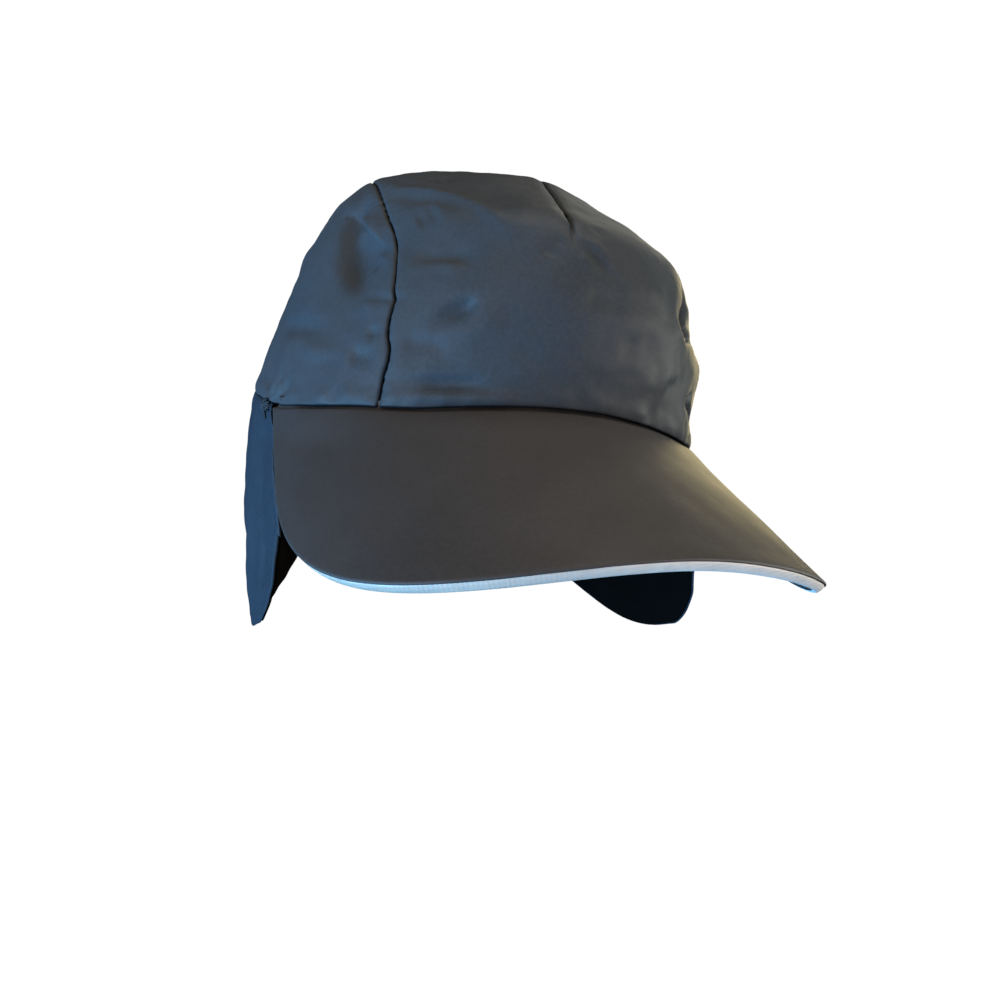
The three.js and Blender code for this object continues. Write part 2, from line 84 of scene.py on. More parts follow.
PEAK_LENGTH, PEAK_HALF, PEAK_WIDEST, PEAK_CORNER, PEAK_BOW = 66.4, 94.4, -8.3, 2.72, 0.45
CAD_FOLDS = [  # x, y, z, along, up, out
    (-61.5, -52.0, 57.0, 13, 20, -4.5),
    (-71.0, -27.0, 52.0, 14, 24, 1.5),
    (-43.0, -73.0, 62.0, 20, 8, -1.8),
    (-36.0, -36.0, 90.0, 9, 9, -0.7),
    (55.0, -69.0, 56.0, 12, 10, -3.0),
    (62.0, -67.0, 41.0, 14, 9, 2.0),
    (64.0, -68.0, 27.0, 12, 8, -2.0),
    (0.0, 94.0, 28.0, 40, 16, -1.5),
]
FLAP = np.array([  # round, drop, out, left, back, curl
    (74, 42, 0.05, 0.12, -0.4, -0.1), (80, 61.3, 0.08, 0.12, -0.4, -0.1), (90, 81.6, 0.15, 0.12, -0.39, -0.1),
    (104, 92.6, 0.21, 0.12, -0.37, -0.11), (118, 84.2, 0.13, 0.11, -0.33, -0.12), (134, 66, 0.04, 0.1, -0.3, -0.14),
    (154, 56, 0.01, 0.09, -0.27, -0.12), (180, 50, 0.0, 0.08, -0.25, -0.1), (206, 56, 0.01, 0.09, -0.27, -0.12),
    (226, 66, 0.06, 0.1, -0.3, -0.14), (242, 86.4, 0.19, 0.1, -0.33, -0.12), (256, 96.8, 0.3, 0.1, -0.37, -0.1),
    (270, 85.5, 0.33, 0.1, -0.39, -0.1), (280, 63.2, 0.33, 0.1, -0.4, -0.1), (286, 42, 0.34, 0.1, -0.4, -0.1),
])


def at_row(rows, r):
    last = len(rows) - 1
    rc = np.clip(np.asarray(r, float), 0, last)
    i = np.minimum(np.floor(rc).astype(int), last - 1)
    t = (rc - i)[..., None]
    b, c = rows[i], rows[i + 1]
    a = np.where((i > 0)[..., None], rows[np.maximum(i - 1, 0)], 2 * b - c)
    d = np.where((i + 2 <= last)[..., None], rows[np.minimum(i + 2, last)], 2 * c - b)
    return 0.5 * (2 * b + (c - a) * t + (2 * a - 5 * b + 4 * c - d) * t * t + (3 * b - a - 3 * c + d) * t ** 3)


def at_value(rows, value):
    value = np.asarray(value, float)
    key = rows[:, 0]
    i = np.clip(np.searchsorted(key, value, side="right") - 1, 0, len(rows) - 2)
    t = np.clip((value - key[i]) / (key[i + 1] - key[i]), 0, 1)
    return at_row(rows, i + t)


def power(v, p):
    return np.sign(v) * np.abs(v) ** p


def unit(v):
    return v / np.maximum(np.linalg.norm(v, axis=-1, keepdims=True), 1e-12)


FORWARD = np.array([0, -math.cos(SLOPE), -math.sin(SLOPE)])
UPWARD = np.array([0, -math.sin(SLOPE), math.cos(SLOPE)])
ROOT = np.array([0, -ROWS[0, 2], ROOT_Z])


def arch_drop(a):
    return -ARCH_R * (1 - np.cos(a)) * (1 + ARCH_TIGHT * a * a)


def ease(v):
    k = np.clip(v, 0, 1)
    return k * k * (3 - 2 * k)


def root_rise(x):
    """Toward the horns the sewn edge rides up the crown a little."""
    far = np.abs(x)
    return RISE * ease((far - 44) / 29) * (1 - 0.55 * ease((far - 77) / 7.5))


def root_ahead(x):
    rim = ROWS[0]
    sn = np.minimum((np.abs(x) / rim[1]) ** (rim[4] / 2), math.sin(HORN))
    y = -rim[2] * np.sqrt(1 - sn * sn) ** (2 / rim[4])
    drop = arch_drop(np.arcsin(np.clip(x / ARCH_R, -0.999, 0.999)))
    return (y - ROOT[1] - drop * UPWARD[1]) / FORWARD[1]


def peak_point(w, l, height=0.0):
    """A point of the peak's sheet from its flat pattern: w across, l forward, height off the sheet."""
    def place(ww, ll):
        a = ww / ARCH_R
        x = ARCH_R * np.sin(a)
        rise = root_rise(x) * (1 - ease((ll - root_ahead(x)) / RISE_FADE))
        return (ROOT + np.stack([x, 0 * a, rise], -1)
                + arch_drop(a)[..., None] * UPWARD + ll[..., None] * FORWARD)
    p = place(w, l)
    across = unit(place(w + 0.5, l) - place(w - 0.5, l))
    n = np.cross(place(w, l + 0.5) - place(w, l - 0.5), across)
    n = n * np.sign(n[..., 2:3])
    return p + unit(n) * np.asarray(height)[..., None]


def level_point(theta, s):
    sn = power(np.sin(theta), 2 / s[..., 4])
    cs = power(np.cos(theta), 2 / s[..., 4])
    return s[..., 1] * sn, np.where(cs > 0, -s[..., 2] * cs, -s[..., 3] * cs)


def seam_at(theta):
    x, y = level_point(theta, np.broadcast_to(ROWS[0], theta.shape + (5,)))
    a = np.arcsin(np.clip(x / ARCH_R, -0.999, 0.999))
    drop = arch_drop(a)
    l = (y - ROOT[1] - drop * UPWARD[1]) / FORWARD[1]
    return ARCH_R * a, l, ROOT[2] + drop * UPWARD[2] + l * FORWARD[2] + root_rise(x)


def rim_height(theta):
    theta = (theta + math.pi) % (2 * math.pi) - math.pi
    z = seam_at(np.clip(theta, -HORN, HORN))[2]
    k = np.clip((np.abs(theta) - HORN) / (math.pi - HORN), 0, 1)
    blend = k * k * (3 - 2 * k)
    return z * (1 - blend) + RIM_BACK_Z * blend


def smooth_crown(theta, row):
    theta, row = np.broadcast_arrays(np.asarray(theta, float), np.asarray(row, float))
    s = at_row(ROWS, row)
    x, y = level_point(theta, s)
    top = ROWS[-1, 0]
    rim = rim_height(theta)
    rise = row / LAST
    return np.stack([x, y + APEX_BACK * rise * rise, rim + (top - rim) * (s[..., 0] / top)], -1)


def crown_normal(theta, row):
    r = np.minimum(row, LAST - 0.12)
    d = 0.03
    level = smooth_crown(theta + d, r) - smooth_crown(theta - d, r)
    up = smooth_crown(theta, np.minimum(r + d, LAST)) - smooth_crown(theta, np.maximum(r - d, 0))
    n = unit(np.cross(level, up))
    k = np.clip((row - (LAST - 0.5)) / 0.5, 0, 1)[..., None]
    return unit(n * (1 - k) + np.array([0, 0, 1.0]) * k)


# ------------------------------------------------------------------ soft noise, seams and folds
def waves(p, size, seed, count=18):
    """Smooth seeded noise from about -1 to 1, as a sum of waves of about that size in millimetres."""
    rng = np.random.default_rng(seed)
    out = np.zeros(p.shape[:-1])
    for _ in range(count):
        k = rng.normal(size=3)
        k = k / np.linalg.norm(k) * (2 * math.pi / (size * rng.uniform(0.7, 1.8)))
        out += np.sin(p @ k + rng.uniform(0, 6.28))
    return out / math.sqrt(count) * 0.9


def bell(x):
    return np.exp(-x * x)


def along_path(p, path):
    """Distance from each point to a line of points, the share of the way along it, and the side it is on."""
    path = np.asarray(path, float)
    seg = np.linalg.norm(np.diff(path, axis=0), axis=1)
    total, run = seg.sum(), 0.0
    best = np.full(p.shape[:-1], 1e9)
    share = np.zeros(p.shape[:-1])
    off = np.zeros(p.shape)
    line = np.zeros(p.shape)
    for i in range(len(path) - 1):
        a, b = path[i], path[i + 1]
        t = np.clip(((p - a) @ (b - a)) / max(seg[i] ** 2, 1e-9), 0, 1)
        q = a + t[..., None] * (b - a)
        d = np.linalg.norm(p - q, axis=-1)
        near = d < best
        best = np.where(near, d, best)
        share = np.where(near, (run + t * seg[i]) / total, share)
        off = np.where(near[..., None], p - q, off)
        line = np.where(near[..., None], (b - a) / max(seg[i], 1e-9), line)
        run += seg[i]
    return best, share, off, line


# Folds of the crown cloth. Each is a line of points on the wall, how far it reaches to each side and how
# high it stands (a valley is negative). A lip drops that far on one side, over the span beside the line.
# A rooted fold starts at its full height.
FOLDS = [
    # the hollow beside the wearer's-right seam: a sharp lip at its top and back edge
    dict(path=[(-57.3, -42, 75), (-59.4, -35.5, 75.8), (-61.5, -30.7, 74.4), (-64.5, -28.2, 70.5), (-66.1, -31.3, 65.4),
               (-67.2, -36, 59.5), (-67.9, -41.2, 54.3), (-67.9, -47.7, 48.7), (-66.3, -54, 45.8), (-64, -59.5, 44.6)],
         reach=5.0, out=0.3, lip=5.0, span=13.0),
    dict(path=[(-65, -33, 66), (-62, -40, 66.5), (-58.5, -50, 66)], reach=3.6, out=1.9),
    dict(path=[(-64.9, -57.5, 44.9), (-59.9, -66.2, 44.7), (-55.1, -72.5, 45), (-51.7, -76.3, 44.8)], reach=1.3, out=-0.9),
    dict(path=[(-64, -58, 41.5), (-58, -68, 41.5)], reach=2.4, out=0.6),
    dict(path=[(-64, -46.5, 58.9), (-61.3, -52, 59.4), (-58.1, -60.9, 56.2)], reach=1.2, out=0.7),
    dict(path=[(-63.7, -50.8, 55.6), (-61.6, -53.7, 57)], reach=1.1, out=-0.6),
    # in front of that seam
    dict(path=[(-44.5, -62.5, 74), (-47.9, -61.5, 71.5), (-51.5, -60, 68.5)], reach=4.0, out=-1.3),
    dict(path=[(-52.6, -66.3, 59.6), (-49.2, -71, 59.1), (-44.1, -76.1, 59.4), (-36.5, -82, 60.2)], reach=2.9, out=-1.1),
    dict(path=[(-52.5, -69.8, 55), (-46.6, -75.3, 56.8), (-39.2, -81.8, 57)], reach=2.2, out=0.9),
    dict(path=[(-48.5, -80.6, 38.3), (-44.3, -83.5, 42.5), (-40.3, -85.8, 45.7), (-34.5, -88.2, 50.5)], reach=2.5, out=-1.8),
    dict(path=[(-46, -83.5, 34.5), (-40, -87, 38.5), (-34, -89.6, 42.5), (-28, -91.6, 47)], reach=4.0, out=1.0),
    dict(path=[(-56, -75.8, 32.5), (-50, -80.6, 34), (-42, -86, 35)], reach=2.9, out=-1.0),
    dict(path=[(-56.4, -24.1, 82.2), (-51.9, -40.2, 79.8), (-44.6, -49.7, 80.1), (-39.4, -59.8, 78.2), (-34.5, -69.2, 75.7),
               (-29.8, -79.3, 70.8), (-20, -84.5, 70.1)], reach=2.4, out=1.2),
    dict(path=[(-54.3, -42.6, 76.9), (-47, -52.7, 77.5), (-41.7, -62.1, 75.9), (-37.8, -70.2, 73.3)], reach=3.4, out=-0.8),
    dict(path=[(-46, -28, 88), (-44.1, -31.8, 87.6), (-40.9, -39, 86.5), (-37.5, -45, 85.5)], reach=1.9, out=-0.9),
    dict(path=[(-36, -36, 91), (-38, -44, 87.5)], reach=1.6, out=-0.5),
    # just above the peak
    dict(path=[(-55.8, -77.4, 21.8), (-50.2, -81.8, 22.6), (-44, -85.8, 23.6), (-36.2, -89.7, 25.1), (-25, -93.5, 25.8)],
         reach=2.3, out=-1.7),
    dict(path=[(-54.9, -78.6, 18), (-45.8, -84.9, 20), (-35.7, -89.9, 21.9), (-18, -95, 24)], reach=1.5, out=0.8),
    # the front's middle and the wearer's left
    dict(path=[(-10, -95.3, 55.2), (-7.3, -95.8, 55.4), (-2.1, -96.3, 55.1), (5.5, -96, 55.7)], reach=3.0, out=-0.8),
    dict(path=[(3, -97.3, 43), (8, -97, 44), (12.8, -96.5, 44.9), (22, -94.6, 46.9)], reach=4.0, out=-1.0),
    dict(path=[(12, -94, 62), (24, -90, 60)], reach=4.0, out=0.6),
    dict(path=[(33, -80.5, 66.8), (29, -86.5, 61.5), (26.9, -90.2, 55.7), (29.5, -90.3, 51), (43, -81.8, 49.5)], reach=2.6, out=0.9),
    dict(path=[(37.2, -77.5, 67), (36.8, -80.8, 62.1), (34.2, -85.3, 57.3), (32.5, -88, 53), (36.5, -86.3, 51), (49.4, -76.6, 50.5)],
         reach=1.35, out=-4.3),
    dict(path=[(41.1, -76.3, 63.5), (39.5, -80.8, 58.2), (44.8, -78.2, 54.5)], reach=1.9, out=0.4),
    dict(path=[(20.8, -94.9, 38.5), (31.4, -91.6, 37.5), (38.9, -87.6, 39.9)], reach=5.0, out=0.9),
    dict(path=[(27.1, -93.2, 34.3), (35.3, -89.9, 35.6)], reach=2.6, out=-0.6),
    dict(path=[(48.1, -82.1, 33.8), (44, -85.4, 30.3), (49.2, -82.1, 26.8), (54.8, -78.1, 22.6)], reach=1.3, out=-2.4),
    dict(path=[(40.2, -87.6, 30.8), (39.8, -88, 26.2), (44.7, -85.5, 20.8)], reach=2.6, out=0.5),
    dict(path=[(22.4, -94.3, 28.8), (25.1, -93.4, 24.5), (28.6, -92.4, 21.5)], reach=3.0, out=-0.5),
    # at the end of the dart
    dict(path=[(-11.3, -85.4, 73.1), (-8.6, -87.9, 70.9), (-5, -89.5, 69.5), (-2.7, -91.3, 66.9), (0.7, -92.8, 64.1),
               (5.5, -94, 61)], reach=1.9, out=0.9),
    dict(path=[(-11, -90.5, 66.5), (-5, -93, 61)], reach=1.3, out=0.5),
    dict(path=[(-9, -90, 68.2), (0, -93, 62), (6, -94.5, 57.5)], reach=1.7, out=-0.6),
    dict(path=[(-15, -87, 70), (-20, -89.5, 63)], reach=2.4, out=-0.6),
    dict(path=[(-6, -84, 75.5), (1, -85.2, 73.8)], reach=1.5, out=-0.6),
    # the wearer's-right side
    dict(path=[(-82, -8, 32), (-80.8, -20, 31), (-76.8, -37, 32), (-72.3, -49, 33), (-68.5, -56.5, 34.5)], reach=3.3, out=-1.7),
    dict(path=[(-78.2, -39.3, 24.7), (-71.1, -56.1, 26), (-66, -64.5, 27.5)], reach=2.6, out=1.0),
    dict(path=[(-62.7, -66.9, 33.5), (-60.8, -69.2, 34.4), (-58.5, -71.6, 35.6)], reach=1.4, out=-0.9),
    dict(path=[(-66.5, -64, 26.2), (-63.1, -68.4, 27.5), (-60.4, -71.7, 27.7)], reach=2.2, out=-1.1),
    dict(path=[(-84.9, -30.9, 5.6), (-84.2, -31.1, 8.4), (-83.1, -32.4, 11.9), (-82, -34, 17)], reach=1.2, out=-1.6, rooted=True),
    dict(path=[(-83.9, -33.8, 6.7), (-82.5, -36, 10.3), (-81.4, -37, 14.5)], reach=1.1, out=1.0, rooted=True),
    dict(path=[(-83.2, -36.3, 6.6), (-81.5, -39.3, 10.3), (-79.4, -42.5, 15.5)], reach=1.2, out=-1.3, rooted=True),
    dict(path=[(-83.1, -37.1, 5.9), (-79.6, -45.9, 8.4), (-76.9, -51.4, 10.6)], reach=1.4, out=-0.5, rooted=True),
    dict(path=[(-85, -28, 8), (-85.5, -22, 16)], reach=1.4, out=-0.9, rooted=True),
    # the other side and the back, finished plainly alike
    dict(path=[(84, -31, 7), (82, -35, 15)], reach=1.3, out=-1.1, rooted=True),
    dict(path=[(83, -33, 6), (78, -43, 13)], reach=1.4, out=-1.0, rooted=True),
    dict(path=[(83, -8, 30), (78, 18, 34)], reach=5.0, out=-1.1),
    dict(path=[(77, -30, 48), (74, -8, 52)], reach=5.0, out=-1.0),
    dict(path=[(-84, 12, 28), (-76, 38, 34)], reach=5.0, out=-1.1),
    dict(path=[(-75, 0, 56), (-70, 28, 58)], reach=5.0, out=0.9),
    dict(path=[(-24, 90, 30), (4, 95, 34), (30, 88, 30)], reach=4.0, out=-1.2),
    dict(path=[(-30, 80, 52), (-8, 86, 56)], reach=4.5, out=-1.0),
    dict(path=[(8, 78, 66), (26, 72, 64)], reach=4.0, out=0.8),
    dict(path=[(10, -30, 96), (30, -40, 90)], reach=4.5, out=-0.6),
    dict(path=[(-22, 22, 94), (-4, 34, 92)], reach=4.5, out=-0.7),
]
DART = [(3.0, 0.0, 101.0), (0.6, -22.0, 99.5), (-1.1, -38, 96.3), (-4.2, -53, 90.5), (-7.4, -67, 83),
        (-10.6, -79.5, 76.5), (-11.9, -87.7, 70.7), (-11.7, -90.2, 67.4)]


def fold_height(p, n):
    """How far the wall stands off its smooth form at points p with normals n."""
    side = unit(np.stack([-n[..., 1], n[..., 0], 0 * n[..., 0]], -1) + 1e-9)
    up = unit(np.cross(n, side))
    h = np.zeros(p.shape[:-1])
    for x, y, z, along, tall, out in CAD_FOLDS:
        d = p - np.array([x, y, z], float)
        a = (d * side).sum(-1) / along
        b = (d * up).sum(-1) / tall
        c = (d * n).sum(-1) / (along + tall)
        h += out * np.exp(-(a * a + b * b + c * c)) * (np.linalg.norm(d, axis=-1) <= 3 * max(along, tall))
    low, high = p.reshape(-1, 3).min(0), p.reshape(-1, 3).max(0)
    for i, f in enumerate(FOLDS):
        path = np.array(f["path"], float)
        far = max(4.0 * f["reach"] + 6, 3.0 * f.get("span", 0))
        if np.any(path.min(0) - far > high) or np.any(path.max(0) + far < low):
            continue
        d, share, off, line = along_path(p, path)
        off = off - (off * n).sum(-1, keepdims=True) * n
        flat = np.linalg.norm(off, axis=-1)
        from_end = 1 - share if f.get("rooted") else np.minimum(share, 1 - share)
        taper = 0.05 + 0.95 * ease(from_end * 2.6)
        wobble = 1 + (0.12 if f["reach"] > 2.8 else 0.3) * np.sin(share * 9.0 + i)
        reach = f["reach"] * (0.8 + 0.2 * wobble)
        hit = f["out"] * taper * wobble * bell(flat / reach)
        if "lip" in f:
            turn = (np.cross(line, off) * n).sum(-1)
            hit = hit - f["lip"] * taper * 0.5 * (1 + np.tanh(turn / (0.5 * f["reach"]))) * bell(flat / f["span"])
        h += hit * (d < far)
    return h


def dart_height(p, n):
    d, share, off, line = along_path(p, DART)
    off = off - (off * n).sum(-1, keepdims=True) * n
    flat = np.linalg.norm(off, axis=-1)
    end = np.clip((1 - share) * 9, 0, 1)
    bead = 1 + 0.3 * np.sin(share * 140) * np.sin(share * 57 + 1)
    return end * (-1.0 * bead * bell(flat / 0.55) - 0.3 * bell(flat / 2.2) + 0.3 * bell((flat - 4.0) / 3.0))


def seam_x(y):
    return at_value(SIDE_SEAM, y)[..., 1]


def seam_drift(p):
    """The wandering of the seam in front on the wearer's right; none elsewhere."""
    near = ease((-18 - p[..., 1]) / 14) * (p[..., 0] < 0)
    return near * np.interp(p[..., 2], SEAM_DRIFT[:, 0], SEAM_DRIFT[:, 1])


def seam_distance(p, n):
    """Distance along the wall from the side seam, and its sign: positive outside it."""
    x, y = p[..., 0], p[..., 1]
    value = np.abs(x) - seam_x(y) - seam_drift(p)
    slope = (seam_x(y + 1) - seam_x(y - 1)) / 2
    g = np.stack([np.sign(x), -slope, 0 * x], -1)
    gt = g - (g * n).sum(-1, keepdims=True) * n
    return value / np.maximum(np.linalg.norm(gt, axis=-1), 0.15)


def seam_height(d, run, seed):
    """The wall's form beside a seam: edges turned in, a soft roll beside them, and needle puckers."""
    rng = np.random.default_rng(seed)
    a, b, c, e = rng.uniform(0, 6.28, 4)
    pucker = 1.15 * (np.sin(run * 1.55 + a) * np.sin(run * 0.37 + b) + 0.6 * np.sin(run * 2.3 + 2 * np.sin(run * 0.21 + c)))
    roll = 1 + 0.35 * np.sin(run * 0.19 + e) + 0.2 * pucker
    d = np.abs(d)
    bead = 1 + 0.35 * np.sin(run * 2.5 + a) * np.sin(run * 0.83 + c)
    return (-0.95 * bead * bell(d / (0.42 + 0.1 * bead)) - 0.08 * bell(d / 1.6) + 0.14 * roll * bell((d - 3.4) / 2.8)
            + 0.07 * pucker * bell(d / 4.0))


def cross_line():
    """Where the cross seam runs over the top, as y by distance from the middle."""
    r = np.linspace(ROW_TOP, LAST, 60)
    q = smooth_crown(np.full(60, THETA_TOP), r)
    order = np.argsort(q[:, 0])
    return q[order, 0], q[order, 1]


def solve_side(rows, front=True, side=1):
    """Angle from the middle at which each level row crosses a side seam, on the wearer's left if side is 1."""
    lo = np.full(len(rows), 0.0 if front else THETA_TOP)
    hi = np.full(len(rows), THETA_TOP if front else math.pi)
    for _ in range(46):
        mid = (lo + hi) / 2
        q = smooth_crown(mid * side, rows)
        outside = np.abs(q[:, 0]) - seam_x(q[:, 1]) - seam_drift(q) > 0
        if front:
            hi, lo = np.where(outside, mid, hi), np.where(outside, lo, mid)
        else:
            lo, hi = np.where(outside, mid, lo), np.where(outside, hi, mid)
    return (lo + hi) / 2


def top_of_seam():
    """The highest row that the side seam reaches, and its angle."""
    lo, hi = 3.0, 6.0
    th = np.linspace(math.radians(75), math.radians(110), 400)
    for _ in range(40):
        mid = (lo + hi) / 2
        q = smooth_crown(th, np.full(400, mid))
        g = q[:, 0] - seam_x(q[:, 1])
        if g.max() > 0:
            lo, best = mid, th[np.argmax(g)]
        else:
            hi = mid
    return lo, best


ROW_TOP, THETA_TOP = top_of_seam()
CROSS_X, CROSS_Y = cross_line()


def crown_wall(theta, row, depth):
    """Points of the finished crown wall, depth in from its outer face."""
    p = smooth_crown(theta, row)
    n = crown_normal(theta, row)
    h = fold_height(p, n) + dart_height(p, n)
    d = seam_distance(p, n)
    run = p[..., 1] * 0.6 + p[..., 2]
    h = h + seam_height(d, run, 3)
    if np.any(row > ROW_TOP - 0.4):
        y_line = np.interp(np.abs(p[..., 0]), CROSS_X, CROSS_Y)
        reach = np.clip((row - ROW_TOP + 0.25) / 0.25, 0, 1)
        h = h + reach * seam_height((p[..., 1] - y_line) / np.maximum(n[..., 2], 0.4), p[..., 0], 8)
    foot = np.linalg.norm(p - smooth_crown(theta, np.zeros_like(row)), axis=-1)
    pleat = np.sin(theta * 31 + 2 * np.sin(theta * 7)) * 0.25 + np.sin(theta * 67 + 1) * 0.14
    past = ease((np.abs((theta + math.pi) % (2 * math.pi) - math.pi) - HORN) / 0.06)
    h = h - (0.5 - 0.3 * past) * bell(foot / 0.5) - 0.15 * bell(foot / 1.8) + (0.3 + pleat) * bell((foot - 3.4) / 2.6)
    h = h + 0.4 * waves(p, 28, 1) + 0.12 * waves(p * np.array([1, 1, 1.6]), 12, 2) + 0.04 * waves(p, 4.2, 5)
    shade = 1 - 0.85 * bell((LAST - row) / 0.25)
    h = h * np.where(row > LAST - 0.6, shade, 1)
    inner = np.minimum(depth, 2.0)
    q = p + n * (h - inner)[..., None]
    q[..., 2] = np.where(row == 0, p[..., 2], q[..., 2])
    return q


# ------------------------------------------------------------------ meshes
def make(name, points, faces, smooth=True):
    mesh = bpy.data.meshes.new(name)
    points = np.asarray(points, np.float32) * MM
    faces = np.asarray(faces, np.int32)
    mesh.vertices.add(len(points))
    mesh.vertices.foreach_set("co", points.ravel())
    size = faces.shape[1]
    mesh.loops.add(faces.size)
    mesh.loops.foreach_set("vertex_index", faces.ravel())
    mesh.polygons.add(len(faces))
    mesh.polygons.foreach_set("loop_start", np.arange(0, faces.size, size, dtype=np.int32))
    mesh.update(calc_edges=True)
    mesh.validate()
    ob = bpy.data.objects.new(name, mesh)
    scene.collection.objects.link(ob)
    if smooth:
        mesh.polygons.foreach_set("use_smooth", np.ones(len(mesh.polygons), bool))
    return ob


def face_out(ob):
    """Turns the faces of a closed mesh outward."""
    import bmesh
    bm = bmesh.new()
    bm.from_mesh(ob.data)
    bmesh.ops.remove_doubles(bm, verts=bm.verts, dist=2e-6)
    bmesh.ops.recalc_face_normals(bm, faces=bm.faces)
    bm.to_mesh(ob.data)
    bm.free()
    ob.data.polygons.foreach_set("use_smooth", np.ones(len(ob.data.polygons), bool))
    return ob


def slab(name, outer, inner):
    """A closed sheet between two grids of points of one size."""
    rows, cols = outer.shape[:2]
    n = rows * cols
    idx = np.arange(n).reshape(rows, cols)
    def grid(k, flip):
        a, b, c, d = k[:-1, :-1], k[:-1, 1:], k[1:, 1:], k[1:, :-1]
        f = np.stack([a, b, c, d] if not flip else [a, d, c, b], -1)
        return f.reshape(-1, 4)
    faces = [grid(idx, False), grid(idx + n, True)]
    def wall(line):
        a, b = line[:-1], line[1:]
        return np.stack([a, a + n, b + n, b], -1)
    for line in (idx[0], idx[:, -1], idx[-1, ::-1], idx[::-1, 0]):
        faces.append(wall(line))
    ob = make(name, np.vstack([outer.reshape(-1, 3), inner.reshape(-1, 3)]), np.vstack(faces))
    return face_out(ob)


def spaced(length, fine=0.32, coarse=1.15, edge=4.0, both=True):
    """Shares from 0 to 1 along a length in millimetres, closer together near its ends."""
    s = np.linspace(0, length, 4000)
    near = np.minimum(s, length - s) if both else s
    step = fine + (coarse - fine) * np.clip(near / edge, 0, 1)
    dens = np.concatenate([[0], np.cumsum((s[1] - s[0]) / step[:-1])])
    count = max(2, int(math.ceil(dens[-1])))
    return np.interp(np.linspace(0, dens[-1], count + 1), dens, s / length)


def crown_rows(top, cluster):
    """Row values from the rim up to a row, closer together at the rim and, if asked, at the top."""
    r = np.linspace(0, top, 600)
    q = smooth_crown(np.full(600, 0.3), r)
    arc = np.concatenate([[0], np.cumsum(np.linalg.norm(np.diff(q, axis=0), axis=1))])
    share = spaced(arc[-1], fine=0.4, coarse=1.1, edge=5, both=False)
    rows = np.interp(share * arc[-1], arc, r)
    if cluster:
        extra = top - 0.55 * (np.arange(0, 22) / 22.0) ** 2.2
        rows = np.unique(np.round(np.concatenate([rows[rows < top - 0.56], extra]), 5))
    return rows


def theta_of_dart(rows):
    path = np.array(DART, float)
    r = np.linspace(0, LAST, 900)
    out = np.zeros(len(rows))
    q = smooth_crown(np.zeros(900), r)
    zs = q[:, 2]
    for i, row in enumerate(rows):
        z = np.interp(row, r, zs)
        z = np.clip(z, path[-1, 2], 99.4)
        x = np.interp(z, path[::-1, 2], path[::-1, 0])
        s = at_row(ROWS, np.array([row]))[0]
        out[i] = math.asin(np.clip(x / max(s[1], 12.0), -0.5, 0.5))
    return out


def crown_panel(name, rows, low, high, middle=None, wall=1.35):
    """A panel from its rows and the angles of its two edges on each row."""
    widest = 0
    for i in range(0, len(rows), 12):
        q = smooth_crown(np.linspace(low[i], high[i], 30), np.full(30, rows[i]))
        widest = max(widest, np.linalg.norm(np.diff(q, axis=0), axis=1).sum())
    if middle is None:
        k = spaced(widest)
        theta = low[:, None] + (high - low)[:, None] * k[None]
    else:
        k = spaced(widest / 2)
        left = low[:, None] + (middle - low)[:, None] * k[None]
        right = middle[:, None] + (high - middle)[:, None] * k[None]
        theta = np.hstack([left, right[:, 1:]])
    row = np.repeat(rows[:, None], theta.shape[1], 1)
    outer = crown_wall(theta, row, np.zeros_like(row))
    inner = crown_wall(theta, row, np.full_like(row, wall))
    past = ease((np.abs((theta[0] + math.pi) % (2 * math.pi) - math.pi) - HORN) / 0.06)
    outer[0, :, 2] += 0.5 - 0.4 * past
    inner[0, :, 2] += 0.5 - 0.4 * past
    return slab(name, outer, inner)


INSET = 0.0012
rows_low = crown_rows(ROW_TOP, True)
front_edge = solve_side(rows_low, True)
front_edge_right = solve_side(rows_low, True, -1)
back_edge = solve_side(rows_low, False)
above = np.linspace(ROW_TOP, LAST, 64)[1:]
rows_all = np.concatenate([rows_low, above])
front_all = np.concatenate([front_edge, np.full(len(above), THETA_TOP)]) - INSET
front_all_right = np.concatenate([front_edge_right, np.full(len(above), THETA_TOP)]) - INSET
back_all = np.concatenate([back_edge, np.full(len(above), THETA_TOP)]) + INSET
crown_front = crown_panel("crown_front", rows_all, -front_all_right, front_all, middle=theta_of_dart(rows_all))
crown_back = crown_panel("crown_back", rows_all, back_all, 2 * math.pi - back_all)
for_left = front_edge + INSET, np.maximum(back_edge - INSET, front_edge + INSET + 1e-4)
for_right = front_edge_right + INSET, np.maximum(back_edge - INSET, front_edge_right + INSET + 1e-4)
crown_left = crown_panel("crown_side_left", rows_low, for_left[0], for_left[1])
crown_right = crown_panel("crown_side_right", rows_low, -for_right[1], -for_right[0])

# ------------------------------------------------------------------ peak
horn_w, horn_l, _ = (float(v) for v in seam_at(np.array(HORN)))


def edge_half():
    t = np.linspace(0, 1, 200)[:-1]
    control = PEAK_WIDEST - PEAK_BOW * (PEAK_WIDEST - horn_l)
    w = (1 - t) ** 2 * horn_w + 2 * t * (1 - t) * PEAK_HALF + t * t * PEAK_HALF
    l = (1 - t) ** 2 * horn_l + 2 * t * (1 - t) * control + t * t * PEAK_WIDEST
    q = np.linspace(0, math.pi / 2, 500)
    w2 = PEAK_HALF * np.abs(np.cos(q)) ** (2 / PEAK_CORNER)
    l2 = PEAK_WIDEST + (PEAK_LENGTH - PEAK_WIDEST) * np.abs(np.sin(q)) ** (2 / PEAK_CORNER)
    return np.stack([np.concatenate([w, w2]), np.concatenate([l, l2])], -1)


def seam_half():
    w, l, _ = seam_at(HORN * (1 - np.linspace(0, 1, 400)))
    return np.stack([w, l], -1)


FIRST_RAY = 0.03
EDGE, SEAM = edge_half(), seam_half()


